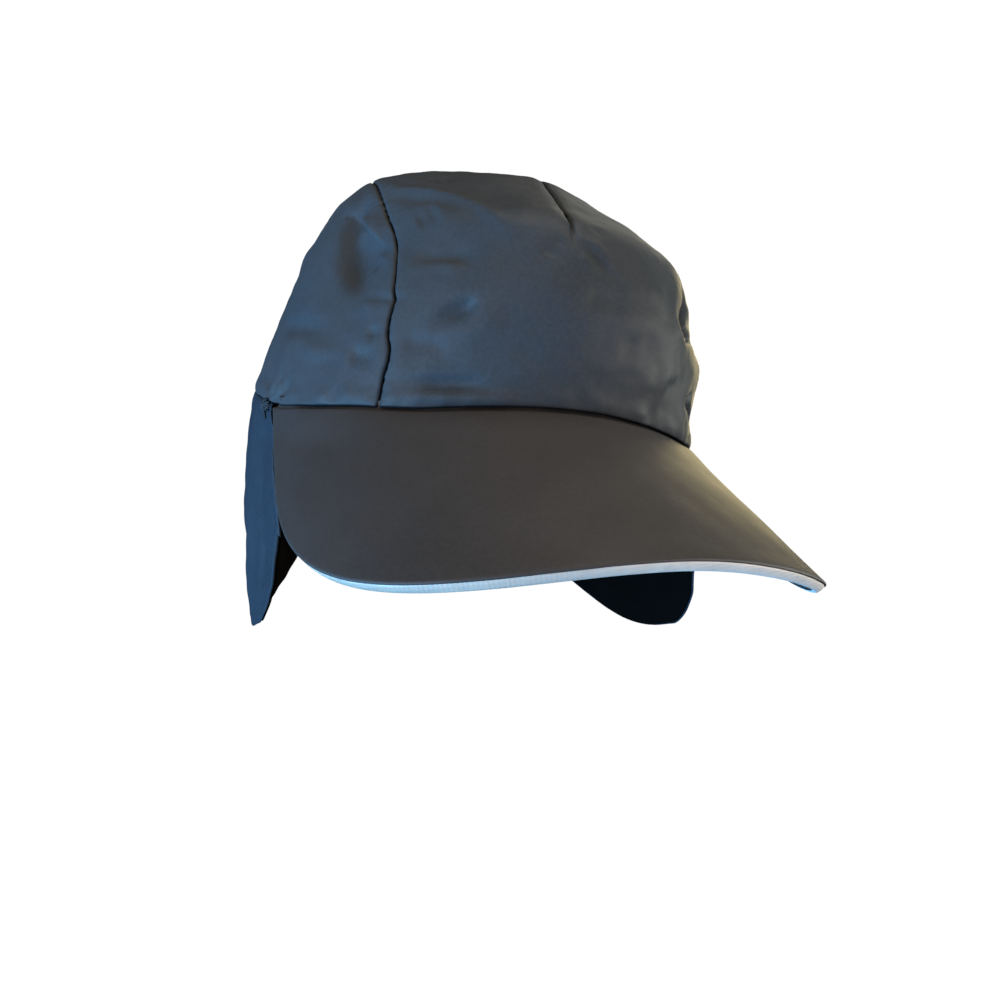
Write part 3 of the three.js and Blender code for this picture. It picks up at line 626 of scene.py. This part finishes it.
def on_ray(line, psi):
    angle = np.arctan2(line[:, 1] - horn_l, line[:, 0])
    angle = np.maximum.accumulate(angle)
    return np.stack([np.interp(psi, angle, line[:, 0]), np.interp(psi, angle, line[:, 1])], -1)


def peak_stations(count):
    s = np.linspace(0, 1, count)
    side = np.where(s < 0.5, -1.0, 1.0)
    t = 1 - np.abs(2 * s - 1)
    psi = FIRST_RAY + (math.pi / 2 - FIRST_RAY) * np.minimum(1, t * (1.35 - 0.35 * t))
    root, edge = on_ray(SEAM, psi), on_ray(EDGE, psi)
    return side, root, edge, np.linalg.norm(edge - root, axis=1)


def peak_sweep(name, outline, count=340):
    """A closed outline swept round the peak. outline(width, trim) gives distances from the root and heights."""
    side, root, edge, width = peak_stations(count)
    rings = []
    for i in range(count):
        dist, height = outline(width[i], min(3.4, 0.45 * width[i]))
        k = (dist / width[i])[:, None]
        wl = root[i] + (edge[i] - root[i]) * k
        w, l = side[i] * wl[:, 0], wl[:, 1]
        sag = 0.22 * waves(np.stack([w, l, 0 * w], -1), 38, 21) + 0.07 * waves(np.stack([w, l, 0 * w], -1), 13, 22)
        rings.append(peak_point(w, l, height + sag * np.clip(dist / 6, 0, 1) * np.clip((width[i] - dist) / 6, 0.25, 1)))
    rings = np.array(rings)
    m = rings.shape[1]
    idx = np.arange(count * m).reshape(count, m)
    a, b = idx[:-1], idx[1:]
    faces = np.stack([a, b, np.roll(b, -1, 1), np.roll(a, -1, 1)], -1).reshape(-1, 4)
    ob = make(name, rings.reshape(-1, 3), faces)
    import bmesh
    bm = bmesh.new()
    bm.from_mesh(ob.data)
    bm.verts.ensure_lookup_table()
    for ring in (idx[0], idx[-1]):
        f = bm.faces.new([bm.verts[int(v)] for v in ring])
        bmesh.ops.triangulate(bm, faces=[f])
    bm.to_mesh(ob.data)
    bm.free()
    return face_out(ob)


TOP, BAND, BOARD = 0.75, 3.75, 4.35


def top_outline(width, trim):
    d = np.linspace(0, 1, 42)
    d = -1.7 + (width - 0.55 + 1.7) * (d + 0.06 * np.sin(2 * math.pi * d) * -1)
    d = np.concatenate([[-2.9, -2.3], d])
    a = np.linspace(0, math.pi / 2, 6)[1:]
    nose_d, nose_h = width - 0.55 + 0.75 * np.sin(a), -0.6 + 0.6 * np.cos(a)
    under = np.linspace(1, 0, 14)
    under_d = -1.7 + (width - 0.2 + 1.7) * under
    dist = np.concatenate([d, nose_d, under_d, [-2.4]])
    top = np.where(d < 2.5, -0.6 * bell((d - np.clip(d, -9, 0.1)) / 0.7), 0.0)
    top[:2] = (1.3, 0.9)
    height = np.concatenate([top, nose_h, np.full(14, -TOP), [-TOP + 0.3]])
    return dist, height


def band_outline(width, trim):
    a = np.linspace(-math.pi / 2, math.pi / 2, 13)
    mid, half = -(TOP + BAND) / 2, (BAND - TOP) / 2 - 0.03
    dist = np.concatenate([[width - trim + 0.2], width - 0.35 + 0.62 * np.cos(a) ** 0.7, [width - trim + 0.2]])
    height = np.concatenate([[mid - half], mid + half * np.sin(a) ** 1.0, [mid + half]])
    return dist, height


def board_outline(width, trim):
    top = np.linspace(0, 1, 10)
    top_d = -1.5 + (width - trim + 1.5) * top
    a = np.linspace(0, math.pi, 9)
    lip_d, lip_h = width - 1.9 + 0.6 * np.sin(a), -(BAND + BOARD) / 2 + (BOARD - BAND) / 2 * np.cos(a)
    foot = np.linspace(1, 0, 30)
    foot_d = -1.5 + (width - 2.0 + 1.5) * foot
    dist = np.concatenate([top_d, [width - trim], lip_d, foot_d])
    height = np.concatenate([np.full(10, -TOP - 0.05), [-BAND - 0.02], lip_h, np.full(30, -BOARD)])
    return dist, height


peak_top = peak_sweep("peak_top", top_outline)
peak_band = peak_sweep("peak_band", band_outline)
peak_under = peak_sweep("peak_under", board_outline)

# ------------------------------------------------------------------ ear and neck flap
FIRST, FINAL = FLAP[0, 0] - 1.5, FLAP[-1, 0] + 1.5
FLAP_FOLDS = [  # round at the top, round at the foot, reach in degrees of round, out
    (84.0, 95.0, 2.6, 1.5), (89.0, 104.0, 3.0, -1.3), (95.0, 112.0, 4.0, 1.3), (79.0, 84.0, 2.2, -1.0),
    (108.0, 118.0, 5.0, -1.2), (122.0, 124.0, 6.0, 1.4), (146.0, 140.0, 6.0, -1.3), (163.0, 160.0, 7.0, 1.3),
    (184.0, 186.0, 8.0, -1.3), (205.0, 207.0, 6.0, 1.4), (226.0, 225.0, 6.0, -1.3), (244.0, 238.0, 5.0, 1.4),
    (258.0, 250.0, 5.0, -1.1), (268.0, 258.0, 4.0, 1.2), (276.0, 268.0, 3.0, -1.1),
]


def flap_place(rnd, drop):
    r = at_value(FLAP, rnd)
    theta = -np.radians(rnd)
    p = smooth_crown(theta, np.zeros_like(theta))
    out = r[..., 2] * drop + r[..., 5] * drop * drop / 80
    return np.stack([p[..., 0] + np.sin(theta) * out + r[..., 3] * drop,
                     p[..., 1] - np.cos(theta) * out + r[..., 4] * drop,
                     p[..., 2] - 0.3 - drop], -1)


def flap_wall(rnd, share, depth):
    total = at_value(FLAP, rnd)[..., 1]
    drop = share * total
    p = flap_place(rnd, drop)
    level = flap_place(np.minimum(rnd + 1, FINAL), drop) - flap_place(np.maximum(rnd - 1, FIRST), drop)
    down = flap_place(rnd, drop + 1) - flap_place(rnd, np.maximum(drop - 1, 0))
    n = unit(np.cross(level, down))
    theta = -np.radians(rnd)
    n = n * np.sign(n[..., 0] * np.sin(theta) - n[..., 1] * np.cos(theta))[..., None]
    edge = np.minimum(np.minimum((1 - share) * total, (rnd - FIRST) * 1.55 + 0.0), (FINAL - rnd) * 1.55)
    top = drop
    h = np.zeros_like(drop)
    for a, b, reach, out in FLAP_FOLDS:
        line = a + (b - a) * share
        h += out * bell((rnd - line) / reach) * (0.35 + 0.65 * np.sin(np.clip(share, 0, 1) * 2.4 + 0.3))
    for s in (76.2, 283.8):
        h += -1.5 * bell((rnd - s) / 1.6) * bell((top - 1.5) / 3.0) - 1.3 * bell((rnd - s) / 2.6) * bell((top - 14) / 6)
    h = h * np.clip(top / 12, 0.12, 1) * np.clip(edge / 14, 0.35, 1)
    pucker = np.sin(rnd * 2.9 + 1.3 * np.sin(rnd * 0.5)) * 0.24 + np.sin(rnd * 5.3 + 1) * 0.12
    h += -0.5 * bell(top / 0.6) + (0.25 + pucker) * bell((top - 4) / 3.2)
    h += 0.35 * waves(p, 24, 31) * np.clip(top / 10, 0, 1) + 0.14 * waves(p, 9, 32)
    h += -0.12 * bell((edge - 3.2) / 1.0) + 0.1 * np.sin((rnd + share * 40) * 1.3) * bell((edge - 3) / 3.0)
    return p + n * (h - depth)[..., None], n, edge


def flap_grid(cols=330, rows=74):
    k = spaced(330, fine=0.35, coarse=1.1, edge=5)
    rnd = FIRST + (FINAL - FIRST) * k
    v = spaced(90, fine=0.35, coarse=1.5, edge=5)
    return np.meshgrid(rnd, v)


def flap_piece(name, outer_depth, inner_depth, trim):
    rnd, share = flap_grid()
    total = at_value(FLAP, rnd)[..., 1]
    if trim:
        share = share * (1 - trim / total)
        half = (FINAL - FIRST) / 2
        rnd = (rnd - FIRST - half) * (1 - 0.62 * trim / half) + FIRST + half
    outer, n, edge = flap_wall(rnd, share, np.full(rnd.shape, float(outer_depth)))
    inner = flap_wall(rnd, share, np.full(rnd.shape, float(inner_depth)))[0]
    edge = edge - (trim or 0)
    rolled = 0.5 * (inner_depth - outer_depth) * bell(np.clip(edge, 0, 9) / 0.5)
    outer = outer - n * rolled[..., None]
    inner = inner + n * rolled[..., None]
    return slab(name, outer, inner)


flap_shell = flap_piece("ear_flap_outer", 0.0, 1.15, 0)
flap_lining = flap_piece("ear_flap_inner", 1.2, 2.15, 0.6)

# ------------------------------------------------------------------ thread
def tube_parts(segments, radius, sides=6, bulge=0.0):
    """Short closed stitches, each from one point to another, as one set of points and faces."""
    pts, faces = [], []
    profile = np.array([0.0, 0.12, 0.5, 0.88, 1.0])
    size = np.array([0.15, 0.8, 1.0, 0.8, 0.15])
    for a, b, n in segments:
        axis = unit(b - a)
        u = unit(np.cross(axis, n))
        v = np.cross(u, axis)
        start = len(pts)
        for t, k in zip(profile, size):
            c = a + (b - a) * t + n * bulge * math.sin(math.pi * t)
            for j in range(sides):
                ang = 2 * math.pi * j / sides
                pts.append(c + (u * math.cos(ang) + v * math.sin(ang)) * radius * k)
        for r in range(len(profile) - 1):
            for j in range(sides):
                o = start + r * sides
                faces.append((o + j, o + (j + 1) % sides, o + sides + (j + 1) % sides, o + sides + j))
        for o, turn in ((start, True), (start + (len(profile) - 1) * sides, False)):
            ring = [o + j for j in range(sides)]
            if turn:
                ring = ring[::-1]
            faces.append((ring[0], ring[1], ring[2], ring[3]))
            faces.append((ring[0], ring[3], ring[4], ring[5]))
    return pts, faces


def stitch_line(points, normals, length, gap, lift):
    """Stitches of a length, with a gap between them, along a line of points."""
    seg = np.linalg.norm(np.diff(points, axis=0), axis=1)
    arc = np.concatenate([[0], np.cumsum(seg)])
    out = []
    s = gap
    while s + length < arc[-1]:
        def at(x):
            return np.array([np.interp(x, arc, points[:, k]) for k in range(3)])
        n = unit(np.array([np.interp(s + length / 2, arc, normals[:, k]) for k in range(3)]))
        out.append((at(s) + n * lift, at(s + length) + n * lift, n))
        s += length + gap
    return out


def seam_run(theta, row):
    wall = crown_wall(theta, row, np.zeros_like(row))
    return wall, crown_normal(theta, row)


def thread(name, segments, radius, bulge=0.0):
    pts, faces = tube_parts(segments, radius, bulge=bulge)
    return make(name, np.array(pts), np.array(faces))


segments = []
for line in (front_edge, back_edge, -front_edge_right, -back_edge):
    p, n = seam_run(line, rows_low)
    segments += stitch_line(p, n, 2.1, 0.75, -0.15)
p, n = seam_run(np.full(120, THETA_TOP), np.linspace(ROW_TOP, LAST - 0.05, 120))
segments += stitch_line(p, n, 2.1, 0.75, -0.15)
p, n = seam_run(np.full(120, -THETA_TOP), np.linspace(ROW_TOP, LAST - 0.05, 120))
segments += stitch_line(p, n, 2.1, 0.75, -0.15)
seam_thread = thread("seam_thread", segments, 0.2)


# Dark thread in the dart of the front panel.
dart_rows = np.linspace(3.35, LAST - 0.02, 160)
dart_theta = theta_of_dart(dart_rows)
q, n = seam_run(dart_theta, dart_rows)
dart_thread = thread("dart_thread", stitch_line(q[::-1], n[::-1], 2.0, 0.35, 0.3), 0.27)

# The knot of close stitches where the peak's horn, the crown and the flap meet.
segments = []
chance = np.random.default_rng(11)
for side in (-1, 1):
    th = side * math.radians(76.2)
    rnd = (-math.degrees(th)) % 360
    heart, out_of, _ = flap_wall(np.array([rnd]), np.array([0.035]), np.array([0.0]))
    heart, out_of = heart[0], out_of[0]
    across = unit(np.array([-out_of[1], out_of[0], 0.0]))
    rising = np.cross(out_of, across)
    rising = rising * np.sign(rising[2])
    for i in range(46):
        ang = chance.uniform(0, math.pi)
        half = chance.uniform(0.8, 2.0)
        mid = heart + across * chance.normal() * 1.1 + rising * (chance.normal() * 1.0 - 0.2) + out_of * chance.uniform(0.1, 0.8)
        way = across * math.cos(ang) + rising * math.sin(ang)
        segments.append((mid - way * half, mid + way * half, out_of))
    for i in range(11):
        ang = 2 * math.pi * (i + 0.5 * chance.random()) / 11
        way = across * math.cos(ang) + rising * math.sin(ang)
        segments.append((heart + way * 0.8 + out_of * 0.55, heart + way * (2.8 + 2.2 * chance.random()) + out_of * 0.05, out_of))
    forward = across * -side
    for i in range(18):
        start = heart + forward * chance.uniform(-3.0, 2.0) + rising * (0.5 * chance.normal() + 0.5) + out_of * chance.uniform(0.2, 0.7)
        end = start + forward * chance.uniform(2.5, 5.0) + rising * chance.uniform(-0.2, 0.9) - out_of * 0.3
        segments.append((start, end, out_of))
bar_thread = thread("bar_thread", segments, 0.24, bulge=0.15)

# ------------------------------------------------------------------ materials
def new_material(name):
    m = bpy.data.materials.new(name)
    m.use_nodes = True
    nt = m.node_tree
    nt.nodes.clear()
    out = nt.nodes.new("ShaderNodeOutputMaterial")
    bsdf = nt.nodes.new("ShaderNodeBsdfPrincipled")
    nt.links.new(bsdf.outputs[0], out.inputs[0])
    coord = nt.nodes.new("ShaderNodeTexCoord")
    return m, nt, bsdf, coord.outputs["Object"]


def node(nt, kind, inputs=None, **props):
    n = nt.nodes.new(kind)
    for k, v in props.items():
        setattr(n, k, v)
    for k, v in (inputs or {}).items():
        if isinstance(v, bpy.types.NodeSocket):
            nt.links.new(v, n.inputs[k])
        else:
            n.inputs[k].default_value = v
    return n


def noise(nt, coord, scale, detail=3, rough=0.5, distortion=0.0):
    return node(nt, "ShaderNodeTexNoise", {"Vector": coord, "Scale": scale, "Detail": detail,
                                           "Roughness": rough, "Distortion": distortion}).outputs["Fac"]


def ramp(nt, fac, stops):
    r = node(nt, "ShaderNodeValToRGB", {"Fac": fac})
    els = r.color_ramp.elements
    while len(els) < len(stops):
        els.new(0.5)
    for e, (pos, col) in zip(els, stops):
        e.position = pos
        e.color = (*col, 1) if len(col) == 3 else col
    return r.outputs["Color"]


def spread(nt, fac, low, high, a, b):
    return node(nt, "ShaderNodeMapRange", {"Value": fac, "From Min": low, "From Max": high,
                                           "To Min": a, "To Max": b}).outputs["Result"]


def math_node(nt, op, a, b=0.0):
    n = nt.nodes.new("ShaderNodeMath")
    n.operation = op
    for i, v in enumerate((a, b)):
        if isinstance(v, bpy.types.NodeSocket):
            nt.links.new(v, n.inputs[i])
        else:
            n.inputs[i].default_value = v
    return n.outputs[0]


def weave(nt, coord, scale, turn=0.5):
    """A plain weave: two crossed sets of fine ridges."""
    parts = []
    for ang, axis in ((turn, "X"), (turn, "Z")):
        m = node(nt, "ShaderNodeMapping", {"Vector": coord, "Rotation": (0.3, 0.2, ang)})
        w = node(nt, "ShaderNodeTexWave", {"Vector": m.outputs[0], "Scale": scale, "Distortion": 0.8,
                                           "Detail": 1.0, "Detail Scale": 2.0},
                 wave_type="BANDS", bands_direction=axis)
        parts.append(w.outputs["Fac"])
    return math_node(nt, "MULTIPLY", math_node(nt, "ADD", parts[0], parts[1]), 0.5)


def bumps(nt, layers):
    """Bump layers stacked: (height, strength, distance in metres)."""
    normal = None
    for height, strength, distance in layers:
        b = node(nt, "ShaderNodeBump", {"Height": height, "Strength": strength, "Distance": distance})
        if normal is not None:
            nt.links.new(normal, b.inputs["Normal"])
        normal = b.outputs["Normal"]
    return normal


def cloth(name, dark, mid, light, rough, sheen, sheen_tint, weave_scale, weave_depth, crumple, specks=0.0,
          specular=0.5, seed=0.0):
    m, nt, bsdf, co = new_material(name)
    shift = node(nt, "ShaderNodeMapping", {"Vector": co, "Location": (seed, seed * 0.7, -seed)}).outputs[0]
    big = noise(nt, shift, 22, 4, 0.55, 0.4)
    colour = ramp(nt, big, [(0.3, dark), (0.52, mid), (0.72, light)])
    fine = noise(nt, shift, 900, 2, 0.6)
    grain = node(nt, "ShaderNodeMix", {"Factor": spread(nt, fine, 0.35, 0.7, 0.0, 0.22), "A": colour,
                                       "B": (*[c * 1.55 for c in light], 1)}, data_type="RGBA")
    for i in grain.inputs:
        if i.name == "A" and i.type == "RGBA" and not i.is_linked:
            nt.links.new(colour, i)
        if i.name == "B" and i.type == "RGBA":
            i.default_value = (*[min(1, c * 1.55) for c in light], 1)
    base = [o for o in grain.outputs if o.type == "RGBA"][0]
    if specks:
        tiny = node(nt, "ShaderNodeTexVoronoi", {"Vector": shift, "Scale": 130.0, "Randomness": 1.0})
        pick = noise(nt, shift, 60, 1, 0.5)
        near = spread(nt, tiny.outputs["Distance"], 0.035, 0.06, 1.0, 0.0)
        rare = spread(nt, pick, 0.62, 0.66, 0.0, specks)
        fac = math_node(nt, "MULTIPLY", near, rare)
        mix = node(nt, "ShaderNodeMix", {"Factor": fac}, data_type="RGBA")
        a, b = [i for i in mix.inputs if i.type == "RGBA"]
        nt.links.new(base, a)
        b.default_value = (0.32, 0.31, 0.3, 1)
        base = [o for o in mix.outputs if o.type == "RGBA"][0]
    # Painted shade: ambient occlusion within 3.5 mm darkens the base colour toward near-black in creases, seam grooves
    # and tight corners.
    ao_crease_shade = node(nt, "ShaderNodeAmbientOcclusion", {"Distance": 0.0035}, samples=6)
    shade = spread(nt, ao_crease_shade.outputs["AO"], 0.3, 0.82, 0.12, 1.0)
    mix = node(nt, "ShaderNodeMix", {"Factor": shade}, data_type="RGBA")
    a, b = [i for i in mix.inputs if i.type == "RGBA"]
    a.default_value = (0.0004, 0.0006, 0.0009, 1)
    nt.links.new(base, b)
    base = [o for o in mix.outputs if o.type == "RGBA"][0]
    nt.links.new(base, bsdf.inputs["Base Color"])
    rr = spread(nt, noise(nt, shift, 35, 3, 0.6), 0.3, 0.7, rough - 0.06, rough + 0.07)
    nt.links.new(rr, bsdf.inputs["Roughness"])
    bsdf.inputs["Sheen Weight"].default_value = sheen
    bsdf.inputs["Sheen Roughness"].default_value = 0.45
    bsdf.inputs["Sheen Tint"].default_value = (*sheen_tint, 1)
    bsdf.inputs["Specular IOR Level"].default_value = specular
    layers = []
    for scale, depth in crumple:
        layers.append((noise(nt, shift, scale, 3, 0.5, 0.6), 1.0, depth))
    layers.append((weave(nt, shift, weave_scale), 1.0, weave_depth))
    nt.links.new(bumps(nt, layers), bsdf.inputs["Normal"])
    return m


# The crown and the flap shell are one navy nylon. The flap's colours are its plain navy; the crown's are lighter and
# greyer, a painted sheen haze mixed into the navy.
crown_cloth = cloth("navy_nylon", (0.0182, 0.0228, 0.0268), (0.0212, 0.0258, 0.0298), (0.0245, 0.029, 0.033),
                    0.48, 0.0, (0.75, 0.85, 1.0), 1500, 0.000012, [(55, 0.00025), (170, 0.00008)], specular=0.05, seed=0.3)
flap_cloth = cloth("navy_nylon_flap", (0.0088, 0.0142, 0.0208), (0.0104, 0.0165, 0.0238), (0.0128, 0.0188, 0.0265),
                   0.48, 0.0, (0.7, 0.82, 1.0), 1500, 0.000012, [(50, 0.00025), (170, 0.00008)], specular=0.05, seed=0.9)
peak_cloth = cloth("charcoal_nylon", (0.017, 0.0168, 0.0172), (0.019, 0.0189, 0.0193), (0.0215, 0.0213, 0.0217),
                   0.58, 0.0, (1.0, 0.97, 0.93), 1300, 0.000014, [(40, 0.00012), (260, 0.00005)], specks=0.7,
                   specular=0.15, seed=1.7)
lining_cloth = cloth("black_lining", (0.0007, 0.0006, 0.0005), (0.0009, 0.0008, 0.0007), (0.0012, 0.0011, 0.001),
                     0.92, 0.0, (0.8, 0.85, 1.0), 420, 0.00006, [(90, 0.0003)], specular=0.02, seed=2.3)


def band_material():
    m, nt, bsdf, co = new_material("pale_edge")
    big = noise(nt, co, 40, 4, 0.6)
    colour = ramp(nt, big, [(0.28, (0.238, 0.25, 0.252)), (0.5, (0.285, 0.297, 0.293)), (0.75, (0.333, 0.343, 0.334))])
    soil = noise(nt, co, 180, 4, 0.7)
    # Painted light: the trim's colour is multiplied from a dim warm tone at the wearer's right (-X) to a bright cool
    # tone at the wearer's left (+X), a side-to-side light gradient painted in.
    across = node(nt, "ShaderNodeSeparateXYZ", {"Vector": co}).outputs["X"]
    painted_side_light = node(nt, "ShaderNodeMix", {"Factor": spread(nt, across, -0.08, 0.1, 0.0, 1.0)}, data_type="RGBA", blend_type="MIX")
    a, b = [i for i in painted_side_light.inputs if i.type == "RGBA"]
    a.default_value, b.default_value = (0.8, 0.76, 0.66, 1), (1.48, 1.56, 1.6, 1)
    painted_side_light_mix = node(nt, "ShaderNodeMix", {"Factor": 1.0}, data_type="RGBA", blend_type="MULTIPLY")
    a, b = [i for i in painted_side_light_mix.inputs if i.type == "RGBA"]
    nt.links.new(colour, a)
    nt.links.new([o for o in painted_side_light.outputs if o.type == "RGBA"][0], b)
    colour = [o for o in painted_side_light_mix.outputs if o.type == "RGBA"][0]
    mix = node(nt, "ShaderNodeMix", {"Factor": spread(nt, soil, 0.55, 0.8, 0.0, 0.5)}, data_type="RGBA")
    a, b = [i for i in mix.inputs if i.type == "RGBA"]
    nt.links.new(colour, a)
    b.default_value = (0.17, 0.185, 0.19, 1)
    nt.links.new([o for o in mix.outputs if o.type == "RGBA"][0], bsdf.inputs["Base Color"])
    nt.links.new(spread(nt, soil, 0.3, 0.7, 0.42, 0.58), bsdf.inputs["Roughness"])
    bsdf.inputs["Specular IOR Level"].default_value = 0.5
    nt.links.new(bumps(nt, [(noise(nt, co, 160, 3), 1.0, 0.00025), (weave(nt, co, 300), 1.0, 0.00005)]),
                 bsdf.inputs["Normal"])
    return m


def thread_material(name, colour, rough=0.8):
    m, nt, bsdf, co = new_material(name)
    c = ramp(nt, noise(nt, co, 400, 2), [(0.35, tuple(x * 0.75 for x in colour)), (0.65, tuple(x * 1.25 for x in colour))])
    nt.links.new(c, bsdf.inputs["Base Color"])
    bsdf.inputs["Roughness"].default_value = rough
    bsdf.inputs["Specular IOR Level"].default_value = 0.08
    twist = node(nt, "ShaderNodeTexWave", {"Vector": co, "Scale": 700.0, "Distortion": 2.0}, wave_type="BANDS",
                 bands_direction="DIAGONAL")
    nt.links.new(bumps(nt, [(twist.outputs["Fac"], 1.0, 0.00004)]), bsdf.inputs["Normal"])
    return m


pale_edge = band_material()
dark_thread = thread_material("dark_thread", (0.003, 0.004, 0.006))
knot_thread = thread_material("knot_thread", (0.017, 0.023, 0.029))

PIECES = [  # object, nodes it stands for, material, slot
    (crown_front, "crown_front_panel", crown_cloth, "crown_fabric"),
    (crown_back, "crown_back_panel", crown_cloth, "crown_fabric"),
    (crown_left, "crown_side_panel_left", crown_cloth, "crown_fabric"),
    (crown_right, "crown_side_panel_right", crown_cloth, "crown_fabric"),
    (peak_top, "peak_top_cover", peak_cloth, "peak_fabric"),
    (peak_band, "peak_trim", pale_edge, "peak_trim"),
    (peak_under, "peak_under_cover", peak_cloth, "peak_fabric"),
    (flap_shell, "ear_flap_shell", flap_cloth, "crown_fabric"),
    (flap_lining, "ear_flap_lining", lining_cloth, "flap_lining"),
    (seam_thread, None, dark_thread, "crown_fabric"),
    (dart_thread, None, dark_thread, "crown_fabric"),
    (bar_thread, None, knot_thread, "crown_fabric"),
]
for ob, stands_for, material, slot in PIECES:
    ob.data.materials.clear()
    ob.data.materials.append(material)
    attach(ob, "root")
    if stands_for:
        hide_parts(stands_for)


def measured_area(ob):
    a = np.zeros(len(ob.data.polygons))
    ob.data.polygons.foreach_get("area", a)
    return a.sum() / 2


print("areas", {ob.name: round(float(measured_area(ob)), 5) for ob, *_ in PIECES})
print("tris", {ob.name: sum(len(p.vertices) - 2 for p in ob.data.polygons) for ob, *_ in PIECES})

# ------------------------------------------------------------------ floor and light
def stage_material(name, glow):
    """Plain white that shows its own even light, so that the floor and the backdrop meet without a line."""
    m = bpy.data.materials.new(name)
    m.use_nodes = True
    nt = m.node_tree
    nt.nodes.clear()
    out = nt.nodes.new("ShaderNodeOutputMaterial")
    light = nt.nodes.new("ShaderNodeEmission")
    light.inputs["Strength"].default_value = glow
    nt.links.new(light.outputs[0], out.inputs[0])
    return m


def for_view_only(ob):
    """Seen by the camera, and neither lighting nor shading the cap."""
    ob.visible_diffuse = ob.visible_glossy = ob.visible_transmission = ob.visible_shadow = False
    ob.visible_volume_scatter = False


bpy.ops.mesh.primitive_plane_add(size=60, location=(0, 0, -0.26))
floor = bpy.context.active_object
floor.name = "floor"
floor.data.materials.append(stage_material("pale_floor", 1.02))
for_view_only(floor)
bpy.ops.mesh.primitive_uv_sphere_add(segments=48, ring_count=24, radius=12, location=(0, 0, 0))
backdrop = bpy.context.active_object
backdrop.name = "backdrop"
backdrop.data.materials.append(stage_material("pale_backdrop", 1.02))
for_view_only(backdrop)

world = bpy.data.worlds.new("world")
scene.world = world
world.use_nodes = True
world.node_tree.nodes["Background"].inputs[0].default_value = (1.0, 1.0, 1.0, 1)
world.node_tree.nodes["Background"].inputs[1].default_value = 0.03


def area_light(name, at, look, size, power_w, colour):
    data = bpy.data.lights.new(name, "AREA")
    data.shape = "RECTANGLE"
    data.size, data.size_y = size
    top = max(colour)
    data.energy = power_w * top
    data.color = [c / top for c in colour]
    ob = bpy.data.objects.new(name, data)
    scene.collection.objects.link(ob)
    ob.location = at
    ob.rotation_mode = "QUATERNION"
    ob.rotation_quaternion = (Vector(look) - Vector(at)).to_track_quat("-Z", "Y")
    ob.visible_camera = False
    return ob


area_light("above", (0.1, -0.1, 1.5), (0, 0, 0.03), (0.9, 0.9), 1.0, (17.5, 17.0, 16.5))
area_light("cool_low", (-1.3, -0.3, -0.5), (0, 0, 0.03), (0.9, 0.9), 1.0, (18.5, 55.0, 100.0))
area_light("warm_front", (0.9, -1.2, 0.3), (0, 0, 0.03), (0.7, 0.7), 1.0, (22.0, 18.8, 19.5))
area_light("warm_side", (1.3, -0.5, 0.3), (0, 0, 0.03), (0.7, 0.7), 1.0, (20.0, 20.5, 18.0))
area_light("low_behind", (1.15, 0.95, 0.2), (0, 0, 0.0), (0.7, 0.7), 1.0, (10.6, 8.7, 4.3))
area_light("side", (-1.3, -0.7, 0.35), (0, 0, 0.03), (0.9, 1.2), 1.0, (28.0, 18.0, 8.0))
area_light("behind", (0.9, 0.9, 0.9), (0, 0, 0.03), (0.8, 0.8), 1.0, (2.2, 2.1, 1.8))

scene.view_settings.view_transform = "Standard"
scene.view_settings.look = "None"
scene.view_settings.exposure = 0.0
scene.view_settings.gamma = 1.0
